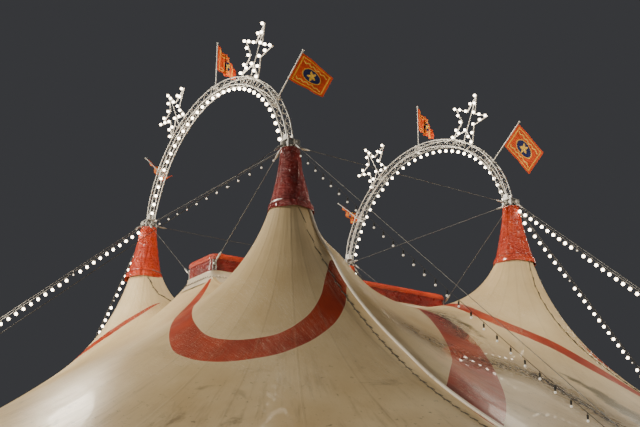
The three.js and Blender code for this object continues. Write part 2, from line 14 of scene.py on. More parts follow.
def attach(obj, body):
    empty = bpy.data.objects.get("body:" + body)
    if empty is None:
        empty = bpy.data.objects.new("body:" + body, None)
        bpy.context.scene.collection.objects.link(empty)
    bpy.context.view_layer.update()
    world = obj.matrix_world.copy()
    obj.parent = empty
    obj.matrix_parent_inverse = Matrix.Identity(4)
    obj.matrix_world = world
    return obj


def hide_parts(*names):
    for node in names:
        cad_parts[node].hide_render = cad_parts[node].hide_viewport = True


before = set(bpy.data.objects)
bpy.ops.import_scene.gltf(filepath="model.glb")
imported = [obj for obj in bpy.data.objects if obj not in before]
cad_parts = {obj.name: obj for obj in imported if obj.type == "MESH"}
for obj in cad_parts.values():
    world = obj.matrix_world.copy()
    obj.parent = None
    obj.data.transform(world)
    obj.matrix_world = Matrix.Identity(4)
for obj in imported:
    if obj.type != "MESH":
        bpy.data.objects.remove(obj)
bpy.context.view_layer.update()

QUARTERS = {"southeast": (1, -1), "southwest": (-1, -1), "northeast": (1, 1), "northwest": (-1, 1)}
SIDES = {"south": -1, "north": 1}

# Masts, their square heads and the band of lugs round each head.
MAST_X, MAST_Y = 4.5, 4.35
MAST_HALF, HEAD_HALF = 0.15, 0.2
HEAD_FOOT, HEAD_TOP, BAND_HEIGHT = 12.34, 12.61, 12.475
BRACE_HEIGHTS = np.linspace(0.1, 12.25, 36)
LUG_HALF = (0.05, 0.008)

# The sail: its outline and pull, the ring round each peak, the raised seams and the neck.
TENT_RADIUS, EAVE_HEIGHT = 14.5, 3.0
SAIL_PULL, PANELS, PANEL_SAG = 1.73, 24, 0.007
PEAK_RADIUS, PEAK_LEAN, PEAK_GATHERS = 0.53, 0.385, 40
RIDGE_LIFT, RIDGE_OFFSET, RIDGE_SPREAD = 0.27, 0.8, 0.7
RIDGE_STARTS, RIDGE_ENDS, RIDGE_CLEARS_PEAK = (-0.6, 0.6), (4.0, 9.0), (0.8, 1.5)
NECK_HEIGHT, NECK_RUN = 9.35, 0.8
NECK_X, NECK_Y = 0.95, 4.74
# Rings of the mesh, how they crowd towards the mast, and strips between the corners of a quarter.
SAIL_RINGS, RING_CROWDING, SAIL_STRIPS = 91, 1.6, (46, 20, 1, 30, 64)
# The sails whose laced seam carries a padded fold, and how much the raised seam is eased on the others.
FOLDED, EASED = ("southeast", "southwest"), 0.5
# Half the way that a lace reaches across its seam.
TIE_REACH = 0.035

# The ridge cupola.
CUPOLA_X, CUPOLA_Y, CUPOLA_CORNER = 0.87, 4.66, 0.32
CUPOLA_FOOT, CUPOLA_EAVE, CUPOLA_RIDGE = 9.6, 10.02, 10.27
CORNER_CUT = CUPOLA_CORNER * (1 - math.sqrt(0.5))
BOSS_PROFILE = [(0.0, -0.02), (0.045, -0.02), (0.045, 0.012), (0.022, 0.03), (0.0, 0.03)]

# The peak covers: two lean a little, and one is longer and deeply creased.
CAP_LENGTH, CAP_TOP_RADIUS, CAP_HEM_RADIUS, HEM_BAND = 1.84, 0.275, 0.64, 0.2
CAP_LEAN = {"southwest": (-0.02, -0.07), "southeast": (0.02, 0.04)}
CAP_REACH = {"northeast": 1.05}
DEEP_CREASE_ON, DEEP_CREASE_AT = "northeast", math.radians(-72)
LONG_CREASES, CROSS_CREASES = 9, 16

# The arches, with their stars and flags.
ARCH_HALF_SPAN, ARCH_WIDTH, ARCH_FOOT_WIDTH = 4.38, 0.24, 0.2
ARCH_RUN, ARCH_RISE, ARCH_SPRING = 4.46, 3.98, 0.04
ARCH_FIRST = math.acos(ARCH_HALF_SPAN / ARCH_RUN)
ARCH_BAYS, TRUSS_JOINTS, ARCH_LAMPS = 56, (9, 18, 28, 38, 47), 33
FOOT_HALF = 0.124
STAR_ANGLES = {"east": 59, "west": 121}
STAR_RADIUS, STAR_FOOT = 0.9, 0.08
STAR_ACROSS = {"south": -0.11, "north": 0.02}
FLAG_ANGLES = {"east": 34, "middle": 90, "west": 146}
FLAG_POLE_REACH, FLAG_TOP_GAP, FLAG_GAP = 1.65, 0.06, 0.02
FLAG_HOIST, FLAG_FLY = 0.9, 1.3
FLAG_WIND = Vector((0.05, 0.8, -0.58)).normalized()
LIMP_WIND = Vector((0.05, 0.95, -0.2))
LIFTED_FLAGS = {("south", "east"): 0.4}
KNOB_PROFILE = [
    (0.0, -0.02), (0.024, -0.015), (0.026, 0.0), (0.018, 0.01),
    (0.034, 0.03), (0.036, 0.045), (0.028, 0.062), (0.0, 0.07),
]

# Cables, guys, their rigging screws and stakes.
STAY_HEAD_Y, STAY_FOOT = 4.48, 9.84
GUY_RUN, GUY_GROUND = 14.5, 0.26
WIRE_RADIUS, THICK_LINE = 0.0075, 0.011
SCREW_PROFILE = [
    (0.0, 0.0), (0.018, 0.0), (0.02, 0.05), (0.034, 0.07),
    (0.036, 0.3), (0.02, 0.32), (0.018, 0.37), (0.0, 0.37),
]
GUY_STAKE_PROFILE = [
    (0.0, 0.0), (0.028, 0.0), (0.028, 0.27), (0.042, 0.275), (0.044, 0.3), (0.03, 0.32), (0.0, 0.322),
]

# Side walls: curtains on poles, the ropes from the eave to the stakes, and the doorway.
WALL_RADIUS, WALL_TOP, POLES_PER_WALL = 14.485, 2.94, 8
POLE_CIRCLE, STAKE_CIRCLE = 14.42, 16.78
SIDE_ROPE = ((14.5, EAVE_HEIGHT - 0.02), (15.9, 1.3), (16.75, 0.2))
SIDE_STAKE_PROFILE = [(0.0, 0.0), (0.02, 0.0), (0.02, 0.34), (0.034, 0.345), (0.036, 0.37), (0.0, 0.376)]
DOOR_WIDTH, DOOR_HEIGHT = 3.0, 2.45
DOOR_TURN = math.asin(DOOR_WIDTH / 2 / TENT_RADIUS)

# How thick the sheets are, and the angles past which an edge stays sharp.
SAIL_THICKNESS, COVER_THICKNESS, THIN_CLOTH = 0.008, 0.006, 0.004
SHEET_EDGE, TURNED_EDGE, PIPE_EDGE = math.radians(55), math.radians(40), math.radians(50)

# The viewer's eye, its yaw, pitch and roll in degrees, and the lens.
EYE = Vector((26.36, -18.65, 1.7))
VIEW_ANGLES = (-54.954, 18.526, 0.17)
LENS, SENSOR_WIDTH, FARTHEST_SEEN = 56.25, 36.0, 400.0

# Broad lights: where each comes from, its strength, its softness in degrees, and whether gloss shows it.
BROAD_LIGHTS = {
    "key": ((-0.5, -0.9, 0.4), 2.6, 10.0, True),
    "back": ((-0.2, 0.9, 0.75), 1.0, 24.0, False),
    "fill": ((0.9, 0.1, 0.5), 0.16, 60.0, False),
}
# Pools where the lamp strings hang: place, power, and whether gloss shows them.
POOL_LIGHTS = {
    "arch_pool_south": ((1.5, -4.2, 14.3), 1100.0, False),
    "arch_pool_north": ((2.0, 4.35, 14.3), 1000.0, False),
    "valley_pool": ((9.0, 2.2, 11.0), 380.0, True),
    "northeast_pool": ((9.5, 7.5, 11.0), 650.0, True),
    "southwest_pool": ((-3.5, -9.5, 10.5), 1100.0, True),
    "south_pool": ((3.5, -12.5, 8.0), 220.0, True),
}
BROAD_COLOUR, POOL_COLOUR, POOL_SIZE = (1.0, 0.92, 0.78), (1.0, 0.9, 0.74), 0.9


# Materials


class Channel:
    """A value, colour or vector on its way through a material; plain arithmetic adds Math nodes."""

    def __init__(self, paint, socket):
        self.paint = paint
        self.socket = socket

    def __add__(self, other):
        return self.paint.math("ADD", self, other)

    def __sub__(self, other):
        return self.paint.math("SUBTRACT", self, other)

    def __rsub__(self, other):
        return self.paint.math("SUBTRACT", other, self)

    def __mul__(self, other):
        return self.paint.math("MULTIPLY", self, other)

    def __truediv__(self, other):
        return self.paint.math("DIVIDE", self, other)

    __radd__ = __add__
    __rmul__ = __mul__

    def __abs__(self):
        return self.paint.math("ABSOLUTE", self)

    def fraction(self):
        """What is left of a value past its last whole number."""
        return self.paint.math("FRACT", self)

    def rise(self, low, high):
        """0 at low, 1 at high, held flat outside."""
        settings = {"clamp": True, "interpolation_type": "SMOOTHSTEP"}
        return self.paint.node("ShaderNodeMapRange", settings, {0: self, 1: low, 2: high})

    def split(self):
        """The three coordinates of a vector."""
        return [self.paint.node("ShaderNodeSeparateXYZ", (), {0: self}, output=axis) for axis in range(3)]


class Paint:
    """A material whose nodes are made one call at a time."""

    def __init__(self, name, **fixed):
        self.material = bpy.data.materials.new(name)
        self.material.use_nodes = True
        self.tree = self.material.node_tree
        self.surface = self.tree.nodes["Principled BSDF"]
        for socket, value in fixed.items():
            self.surface.inputs[socket.replace("_", " ")].default_value = value

    def feed(self, socket, value):
        """Links a channel to a socket, or sets a plain value on it."""
        if isinstance(value, Channel):
            self.tree.links.new(value.socket, socket)
        else:
            socket.default_value = value

    def node(self, kind, settings=(), sockets=(), output=0):
        """Any node, by its type, its settings and the values or links of its sockets."""
        made = self.tree.nodes.new(kind)
        for key, value in dict(settings).items():
            if key == "stops":
                ramp = made.color_ramp
                while len(ramp.elements) < len(value):
                    ramp.elements.new(1.0)
                for element, (position, colour) in zip(ramp.elements, value):
                    element.position = position
                    element.color = colour
            else:
                setattr(made, key, value)
        for key, value in dict(sockets).items():
            self.feed(made.inputs[key], value)
        return Channel(self, made.outputs[output])

    def math(self, operation, *values):
        """A Math node on channels or numbers."""
        return self.node("ShaderNodeMath", {"operation": operation}, dict(enumerate(values)))

    def place(self):
        """Where a point lies in the tent."""
        return self.node("ShaderNodeTexCoord", output="Object")

    def cut(self):
        """Where a point lies on its own flat sheet."""
        return self.node("ShaderNodeUVMap", {"uv_map": "cut"})

    def vector(self, x, y, z=0.0):
        """A vector made of three values."""
        return self.node("ShaderNodeCombineXYZ", (), {0: x, 1: y, 2: z})

    def stretched(self, vector, scale, turn=(0.0, 0.0, 0.0)):
        """A vector scaled along its axes and then turned."""
        return self.node("ShaderNodeMapping", (), {"Vector": vector, "Rotation": turn, "Scale": scale})

    def noise(self, vector, scale, detail=4.0, roughness=0.55, distortion=0.0):
        """Cloudy noise between 0 and 1."""
        return self.node("ShaderNodeTexNoise", (), {
            "Vector": vector, "Scale": scale, "Detail": detail,
            "Roughness": roughness, "Distortion": distortion,
        })

    def mix(self, share, first, second):
        """The first colour, giving way to the second as the share goes to 1."""
        sockets = {0: share, 6: first, 7: second}
        return self.node("ShaderNodeMix", {"data_type": "RGBA"}, sockets, output=2)

    def ramp(self, value, stops):
        """A colour from (position, colour) stops."""
        return self.node("ShaderNodeValToRGB", {"stops": stops}, {0: value})

    def relief(self, height, distance, strength=1.0, under=None):
        """A bump of a height field, on top of another one where it is given."""
        sockets = {"Height": height, "Distance": distance, "Strength": strength}
        if under is not None:
            sockets["Normal"] = under
        return self.node("ShaderNodeBump", (), sockets)

    def finish(self, **channels):
        """Feeds the surface's sockets and gives the finished material."""
        for socket, value in channels.items():
            self.feed(self.surface.inputs[socket.replace("_", " ")], value)
        return self.material


def rgb(red, green, blue):
    """A colour as a node's socket takes it."""
    return (red, green, blue, 1.0)


def sail_cloth():
    """Cream coated cloth with its red bands, sewn panels, grime, mould, moss and scratches."""
    paint = Paint("sail_cloth", Specular_IOR_Level=0.5)
    place, cut = paint.place(), paint.cut()
    panel, run, _ = cut.split()
    low = 1 - place.split()[2].rise(3.2, 7.8)
    cloud = paint.noise(place, 0.35, 5.0)
    cream = paint.ramp(cloud, [(0.3, rgb(0.52, 0.37, 0.18)), (0.72, rgb(0.78, 0.63, 0.39))])
    # Grime runs down the fall of the cloth and gathers near the eave.
    streaks = paint.noise(paint.vector(panel * 3.0, run * 0.25), 2.2, 6.0, 0.65)
    grime = streaks.rise(0.48, 0.78) * (0.06 + 0.94 * low)
    cream = paint.mix(grime * 0.6, cream, rgb(0.21, 0.15, 0.085))
    stain = paint.noise(place, 0.55, 6.0, 0.7, 0.8).rise(0.56, 0.7) * low
    cream = paint.mix(stain * 0.7, cream, rgb(0.14, 0.1, 0.05))
    specks = paint.noise(place, 7.0, 5.0, 0.75).rise(0.6, 0.68) * low
    cream = paint.mix(specks * 0.7, cream, rgb(0.06, 0.055, 0.03))
    band_edge = paint.node("ShaderNodeAttribute", {"attribute_name": "band"}, output="Fac")
    band = band_edge.rise(-0.004, 0.004)
    blotch = paint.noise(place, 1.1, 5.0)
    red = paint.ramp(blotch, [(0.3, rgb(0.26, 0.022, 0.006)), (0.7, rgb(0.46, 0.055, 0.013))])
    smear = paint.noise(paint.vector(panel * 9.0, run * 1.1), 1.6, 6.0, 0.7).rise(0.45, 0.72)
    red = paint.mix(smear * (0.3 + 0.45 * low), red, rgb(0.13, 0.03, 0.014))
    cloth = paint.mix(band, cream, red)
    piping = (1 - abs(band_edge + 0.012).rise(0.004, 0.012)) * 0.35
    cloth = paint.mix(piping, cloth, rgb(0.76, 0.63, 0.43))
    # Moss lies softly in the valley, mould in broken strokes along its seam.
    drift = paint.noise(place, 1.7, 6.0, 0.7, 0.6) - 0.5
    moss_edge = paint.node("ShaderNodeAttribute", {"attribute_name": "moss"}, output="Fac")
    moss = (moss_edge + drift * 0.9).rise(-0.04, 0.2)
    cloth = paint.mix(moss * 0.88, cloth, rgb(0.1, 0.075, 0.018))
    strokes = paint.noise(paint.stretched(place, (1.5, 7.0, 5.0), (0.0, 0.0, 0.55)), 1.9, 6.0, 0.7) - 0.5
    mould_edge = paint.node("ShaderNodeAttribute", {"attribute_name": "mould"}, output="Fac")
    mould = (mould_edge + strokes * 1.5 - 0.1).rise(0.0, 0.035) * mould_edge.rise(-0.2, 0.0)
    cloth = paint.mix(mould * 0.88, cloth, rgb(0.022, 0.02, 0.012))
    # Welded seams between the panels, a hand's breadth wide.
    off_seam = (0.5 - abs(panel.fraction() - 0.5)) * run * (math.tau / PANELS)
    seam = 1 - off_seam.rise(0.022, 0.03)
    cloth = paint.mix(seam * 0.12, cloth, rgb(0.34, 0.26, 0.16))
    scratches = 0.0
    for turn, reach in ((0.7, 0.6), (1.25, 0.45), (2.2, 0.5)):
        lines = paint.noise(paint.stretched(place, (reach, 16.0, reach), (0.4, turn, turn)), 1.6, 3.0)
        scratches += 1 - abs(lines - 0.5).rise(0.0015, 0.005)
    patchy = paint.noise(place, 0.4, 2.0).rise(0.48, 0.6)
    cloth = paint.mix(scratches * patchy * 0.6, cloth, rgb(0.82, 0.72, 0.56))
    ripple = paint.noise(paint.vector(panel * 2.5, run * 1.3), 2.4, 5.0, 0.6)
    skin = paint.relief(ripple, 0.014, 0.4)
    # The wet valley is puckered across its weave, and catches the lamps.
    pucker = paint.noise(paint.stretched(place, (5.0, 9.0, 5.0), (0.0, 0.0, 0.4)), 1.6, 4.0, 0.6)
    wet = mould_edge.rise(-0.9, 0.0)
    skin = paint.relief(pucker * wet, 0.12, 1.0, skin)
    skin = paint.relief(paint.noise(place, 16.0, 6.0, 0.7), 0.006, 0.45, skin)
    skin = paint.relief(seam, 0.004, 0.5, skin)
    rough = 0.3 + 0.16 * paint.noise(place, 2.5, 4.0) + 0.22 * grime - 0.12 * wet
    return paint.finish(Base_Color=cloth, Roughness=rough, Normal=skin, Coat_Weight=0.08 + 0.55 * wet)


def plain_sail_cloth(name, dull, bright):
    """The same cream cloth without bands or panels, for folds and the neck; the fold's copy is made paler, a
    painted highlight.
    """
    paint = Paint(name, Specular_IOR_Level=0.45)
    place = paint.place()
    cloud = paint.noise(place, 0.8, 5.0)
    cream = paint.ramp(cloud, [(0.3, dull), (0.7, bright)])
    grime = paint.noise(place, 3.2, 6.0, 0.7).rise(0.5, 0.75)
    cream = paint.mix(grime * 0.55, cream, rgb(0.2, 0.155, 0.09))
    skin = paint.relief(paint.noise(place, 12.0, 5.0), 0.008, 0.5)
    return paint.finish(Base_Color=cream, Roughness=0.38 + 0.2 * grime, Normal=skin)


def glossy_cover(name, dark, bright, rough=0.2):
    """Coated tarpaulin, creased and shiny."""
    paint = Paint(name, Specular_IOR_Level=0.6)
    place = paint.place()
    mottle = paint.noise(place, 1.8, 6.0, 0.6, 0.4)
    colour = paint.ramp(mottle, [(0.35, dark), (0.65, bright)])
    dust = paint.noise(place, 9.0, 6.0, 0.7).rise(0.55, 0.8)
    colour = paint.mix(dust * 0.3, colour, rgb(0.3, 0.14, 0.09))
    creases = paint.noise(paint.stretched(place, (1.0, 1.0, 2.2)), 4.5, 6.0, 0.6, 0.6)
    fine = paint.noise(place, 30.0, 4.0, 0.6)
    skin = paint.relief(fine, 0.003, 0.4, paint.relief(creases, 0.11, 1.0))
    rough = rough + 0.18 * paint.noise(place, 5.0, 4.0)
    return paint.finish(Base_Color=colour, Roughness=rough, Normal=skin, Coat_Weight=0.25 + 0.3 * mottle)


def metal(name, dull, bright, rough=0.35, metallic=0.9, worn=0.4):
    """Zinc-coated or painted steel, mottled and rusty in patches."""
    paint = Paint(name)
    place = paint.place()
    spangle = paint.noise(place, 14.0, 5.0, 0.6)
    colour = paint.ramp(spangle, [(0.3, dull), (0.7, bright)])
    rust = paint.noise(place, 3.0, 6.0, 0.7).rise(0.62, 0.75)
    colour = paint.mix(rust * worn, colour, rgb(0.16, 0.08, 0.045))
    skin = paint.relief(paint.noise(place, 60.0, 3.0), 0.001, 0.5)
    rough = rough + 0.25 * spangle
    return paint.finish(Base_Color=colour, Roughness=rough, Metallic=metallic - 0.6 * rust, Normal=skin)


def wire_rope():
    """Greased steel rope with the lay of its strands."""
    paint = Paint("wire_rope")
    place = paint.place()
    x, y, z = place.split()
    strand = abs(((x + y + z) * 14.0).fraction() - 0.5) * 2.0
    colour = paint.ramp(strand, [(0.1, rgb(0.1, 0.098, 0.09)), (0.9, rgb(0.25, 0.245, 0.23))])
    grease = paint.noise(place, 2.0, 4.0).rise(0.55, 0.7)
    colour = paint.mix(grease * 0.4, colour, rgb(0.1, 0.09, 0.075))
    rough, bare, skin = 0.4 + 0.2 * strand, 0.85 - 0.5 * grease, paint.relief(strand, 0.002)
    return paint.finish(Base_Color=colour, Roughness=rough, Metallic=bare, Normal=skin)


def fibre_rope(name, dull, bright):
    """Laid fibre rope, fuzzy and matt."""
    paint = Paint(name)
    place = paint.place()
    x, y, z = place.split()
    lay = abs(((x + y + z) * 25.0).fraction() - 0.5) * 2.0
    colour = paint.ramp(lay, [(0.1, dull), (0.9, bright)])
    fuzz = paint.noise(place, 80.0, 3.0)
    return paint.finish(Base_Color=colour, Roughness=0.75 + 0.2 * fuzz, Normal=paint.relief(lay, 0.003, 0.8))


def lamp_glass(name, glow):
    """Frosted globes; the lit ones hold an even warm glow, and the unlit ones a faint painted glow."""
    paint = Paint(name, Emission_Strength=glow, Specular_IOR_Level=0.6)
    rim = paint.node("ShaderNodeLayerWeight", (), {"Blend": 0.4}, output="Facing")
    smoke = paint.noise(paint.place(), 40.0, 3.0)
    warm = paint.mix(rim, rgb(1.0, 0.93, 0.8), rgb(1.0, 0.76, 0.46))
    frost = paint.mix(smoke, rgb(0.8, 0.76, 0.68), rgb(0.93, 0.9, 0.84))
    return paint.finish(Base_Color=frost, Emission_Color=warm, Roughness=0.15 + 0.12 * smoke)


def rubber():
    """The black sleeve of lamp cords and holders."""
    paint = Paint("rubber")
    grain = paint.noise(paint.place(), 35.0, 4.0)
    colour = paint.ramp(grain, [(0.3, rgb(0.012, 0.012, 0.012)), (0.7, rgb(0.04, 0.038, 0.035))])
    return paint.finish(Base_Color=colour, Roughness=0.5 + 0.3 * grain, Normal=paint.relief(grain, 0.002))


def flag_cloth():
    """Orange-red bunting with a yellow frame, wavy ribbons, and a yellow star in a blue oval."""
    paint = Paint("flag_cloth", Specular_IOR_Level=0.3)
    place = paint.place()
    along, down, _ = paint.cut().split()
    weather = paint.noise(place, 3.0, 5.0)
    ground = paint.ramp(weather, [(0.3, rgb(0.52, 0.052, 0.012)), (0.7, rgb(0.72, 0.1, 0.02))])
    x, y = along - FLAG_FLY / 2, down - FLAG_HOIST / 2
    reach_x, reach_y = abs(x) / (FLAG_FLY / 2), abs(y) / (FLAG_HOIST / 2)
    frame_line = paint.math("MAXIMUM", reach_x, reach_y)
    border = frame_line.rise(0.80, 0.805) * (1 - frame_line.rise(0.87, 0.875))
    wave = paint.math("SINE", along * 30.0) * 0.02
    ribbon = 1 - abs(abs(y + wave) - 0.27).rise(0.02, 0.024)
    inside = 1 - frame_line.rise(0.74, 0.745)
    cloth = paint.mix(border, ground, rgb(0.78, 0.42, 0.06))
    cloth = paint.mix(ribbon * inside, cloth, rgb(0.8, 0.5, 0.1))
    x_squared, y_squared = x * x, y * y
    oval = x_squared * 7.5 + y_squared * 22.0
    cloth = paint.mix(1 - oval.rise(0.98, 1.02), cloth, rgb(0.8, 0.45, 0.07))
    cloth = paint.mix(1 - oval.rise(0.78, 0.82), cloth, rgb(0.015, 0.025, 0.12))
    angle = paint.math("ARCTAN2", y, x)
    spoke = abs(((angle + math.pi / 2) / (math.tau / 5)).fraction() - 0.5) * 2.0
    radius = paint.math("SQRT", x_squared + y_squared)
    star = 1 - (radius - spoke * 0.11).rise(0.062, 0.068)
    cloth = paint.mix(star, cloth, rgb(0.85, 0.55, 0.08))
    soot = paint.noise(place, 6.0, 5.0, 0.65).rise(0.55, 0.8)
    cloth = paint.mix(soot * 0.25, cloth, rgb(0.14, 0.06, 0.03))
    weave = paint.noise(paint.stretched(place, (220.0, 220.0, 220.0)), 1.0, 1.0)
    folds = paint.noise(place, 7.0, 3.0)
    skin = paint.relief(weave, 0.0006, 0.5, paint.relief(folds, 0.02, 0.4))
    return paint.finish(Base_Color=cloth, Roughness=0.62 + 0.2 * weather, Normal=skin)


def curtain_cloth():
    """Red coated curtain with pale seams at its poles, splashed with mud along its foot."""
    paint = Paint("curtain_cloth", Specular_IOR_Level=0.4)
    place = paint.place()
    along, height, _ = paint.cut().split()
    fade = paint.noise(place, 0.7, 5.0)
    red = paint.ramp(fade, [(0.3, rgb(0.36, 0.035, 0.018)), (0.7, rgb(0.5, 0.06, 0.028))])
    seam = (0.5 - abs(along.fraction() - 0.5)).rise(0.012, 0.016)
    cloth = paint.mix(seam, rgb(0.62, 0.54, 0.42), red)
    splash = paint.noise(place, 1.6, 6.0, 0.7).rise(0.4, 0.65) * (1 - height.rise(0.05, 0.9))
    cloth = paint.mix(splash * 0.8, cloth, rgb(0.17, 0.12, 0.075))
    hem = 1 - height.rise(0.1, 0.11)
    cloth = paint.mix(hem * 0.5, cloth, rgb(0.09, 0.03, 0.02))
    skin = paint.relief(paint.noise(place, 4.0, 5.0), 0.012, 0.5)
    skin = paint.relief(paint.noise(place, 150.0, 2.0), 0.0008, 0.4, skin)
    return paint.finish(Base_Color=cloth, Roughness=0.45 + 0.2 * fade, Normal=skin)


def floor_paint():
    """A plain pale floor, barely clouded."""
    paint = Paint("floor")
    cloud = paint.noise(paint.place(), 0.08, 3.0)
    colour = paint.ramp(cloud, [(0.3, rgb(0.50, 0.50, 0.49)), (0.7, rgb(0.54, 0.54, 0.53))])
    return paint.finish(Base_Color=colour, Roughness=0.9)


SAIL_CLOTH = sail_cloth()
PLAIN_SAIL_CLOTH = plain_sail_cloth("sail_cloth_plain", rgb(0.54, 0.46, 0.34), rgb(0.72, 0.65, 0.52))
# The fold's cloth is a paler copy of the cream: a painted highlight, for lamp light catching the raised
# fold.
FOLD_CLOTH_PAINTED_HIGHLIGHT = plain_sail_cloth("fold_cloth_painted_highlight", rgb(0.72, 0.62, 0.5), rgb(0.86, 0.78, 0.66))
DARK_RED = glossy_cover("dark_red_cover", rgb(0.16, 0.008, 0.006), rgb(0.3, 0.016, 0.01))
ORANGE_RED = glossy_cover("orange_red_cover", rgb(0.4, 0.026, 0.008), rgb(0.62, 0.066, 0.014))
ROOF_RED = glossy_cover("roof_cover", rgb(0.44, 0.034, 0.01), rgb(0.62, 0.065, 0.016), 0.3)
ZINC = metal("zinc_steel", rgb(0.36, 0.355, 0.34), rgb(0.6, 0.59, 0.56))
TRUSS = metal("truss_alloy", rgb(0.62, 0.61, 0.57), rgb(0.82, 0.81, 0.77), 0.32, 0.75, 0.15)
WHITE_STEEL = metal("white_steel", rgb(0.68, 0.66, 0.61), rgb(0.82, 0.8, 0.75), 0.35, 0.15, 0.25)
STAKE_STEEL = metal("stake_steel", rgb(0.12, 0.1, 0.085), rgb(0.24, 0.2, 0.17), 0.5, 0.8, 0.7)
WIRE = wire_rope()
BLACK_ROPE = fibre_rope("black_rope", rgb(0.012, 0.012, 0.012), rgb(0.05, 0.048, 0.042))
DULL_ROPE = fibre_rope("dull_rope", rgb(0.06, 0.05, 0.04), rgb(0.2, 0.17, 0.13))
PALE_ROPE = fibre_rope("pale_rope", rgb(0.3, 0.26, 0.2), rgb(0.6, 0.54, 0.44))
# The dim globes are on unlit lamps; their faint emission is a painted glow.
LIT_GLOBE, DIM_GLOBE = lamp_glass("lit_globe", 12.0), lamp_glass("dim_globe", 0.45)
RUBBER = rubber()
FLAG_CLOTH = flag_cloth()
CURTAIN_CLOTH = curtain_cloth()


# Modelling hands


def alone(piece=None):
    """Leaves edit mode and selects one piece, or nothing."""
    if bpy.context.object is not None and bpy.context.object.mode != "OBJECT":
        bpy.ops.object.mode_set(mode="OBJECT")
    bpy.ops.object.select_all(action="DESELECT")
    if piece is not None:
        piece.select_set(True)
        bpy.context.view_layer.objects.active = piece


def linked(name, data):
    """A new object for a mesh, curve, lamp or camera."""
    piece = bpy.data.objects.new(name, data)
    bpy.context.collection.objects.link(piece)
    return piece


def added(name):
    """The primitive that was just added, under its own name."""
    piece = bpy.context.object
    piece.name = piece.data.name = name
    return piece


def aimed(at, direction):
    """Puts a pattern's foot at a point, with its own +Z along the direction."""
    turn = Vector((0, 0, 1)).rotation_difference(Vector(direction)).to_matrix().to_4x4()
    return Matrix.Translation(at) @ turn


def block(name, low, high, bevel):
    """A rectangular bar or plate with softened edges."""
    alone()
    middle = [(a + b) / 2 for a, b in zip(low, high)]
    bpy.ops.mesh.primitive_cube_add(size=1.0, location=middle, scale=[b - a for a, b in zip(low, high)])
    piece = added(name)
    bpy.ops.object.transform_apply(location=True, rotation=True, scale=True)
    bpy.ops.object.mode_set(mode="EDIT")
    bpy.ops.mesh.select_all(action="SELECT")
    bpy.ops.mesh.bevel(offset=bevel, segments=2, affect="EDGES")
    bpy.ops.object.mode_set(mode="OBJECT")
    return piece


def turned(name, profile, centre, sides, axis=(0, 0, 1)):
    """A piece turned on the lathe: (radius, height) points spun about its own axis."""
    alone()
    mesh = bpy.data.meshes.new(name)
    mesh.from_pydata([(r, 0.0, z) for r, z in profile], [(i, i + 1) for i in range(len(profile) - 1)], [])
    piece = linked(name, mesh)
    alone(piece)
    bpy.ops.object.mode_set(mode="EDIT")
    bpy.ops.mesh.select_all(action="SELECT")
    bpy.ops.mesh.spin(steps=sides, angle=math.tau, center=(0, 0, 0), axis=(0, 0, 1))
    bpy.ops.mesh.select_all(action="SELECT")
    bpy.ops.mesh.remove_doubles(threshold=1e-5)
    bpy.ops.mesh.normals_make_consistent(inside=False)
    bpy.ops.object.mode_set(mode="OBJECT")
    bpy.ops.object.shade_smooth_by_angle(angle=TURNED_EDGE)
    piece.matrix_world = aimed(centre, axis)
    bpy.ops.object.transform_apply(location=True, rotation=True, scale=True)
    return piece


def pipes(name, runs, radius, sides, closed=False):
    """Round bars, tubes or ropes along lines of points, capped at their ends."""
    alone()
    line = bpy.data.curves.new(name, "CURVE")
    line.dimensions = "3D"
    line.bevel_depth = radius
    line.bevel_resolution = max(sides // 2 - 2, 0)
    line.use_fill_caps = True
    for run in runs:
        spline = line.splines.new("POLY")
        spline.points.add(len(run) - 1)
        for point, at in zip(spline.points, run):
            point.co = (*at, 1.0)
        spline.use_cyclic_u = closed
    alone(linked(name, line))
    bpy.ops.object.convert(target="MESH")
    piece = added(name)
    bpy.ops.object.shade_smooth_by_angle(angle=PIPE_EDGE)
    return piece


def joined(name, pieces):
    """Several pieces made one, with their finishes kept."""
    alone(pieces[0])
    for piece in pieces[1:]:
        piece.select_set(True)
    bpy.ops.object.join()
    return added(name)


def coated(piece, finish):
    """Gives a piece one material."""
    piece.data.materials.clear()
    piece.data.materials.append(finish)
    return piece


def finished(piece, finish, replaces=()):
    """Gives a piece its place in the tent, and one material where it doesn't keep its own."""
    if finish is not None:
        coated(piece, finish)
    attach(piece, "root")
    if replaces:
        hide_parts(*replaces)


def repeated(name, pattern, places):
    """One mesh with a copy of the pattern at every place."""
    whole = bmesh.new()
    for place in places:
        start = len(whole.verts)
        whole.from_mesh(pattern.data)
        whole.verts.ensure_lookup_table()
        bmesh.ops.transform(whole, matrix=place, verts=whole.verts[start:])
    mesh = bpy.data.meshes.new(name)
    whole.to_mesh(mesh)
    whole.free()
    for finish in pattern.data.materials:
        mesh.materials.append(finish)
    return linked(name, mesh)


def put_away(*patterns):
    """Removes the patterns that were only there to be copied."""
    for pattern in patterns:
        bpy.data.objects.remove(pattern, do_unlink=True)


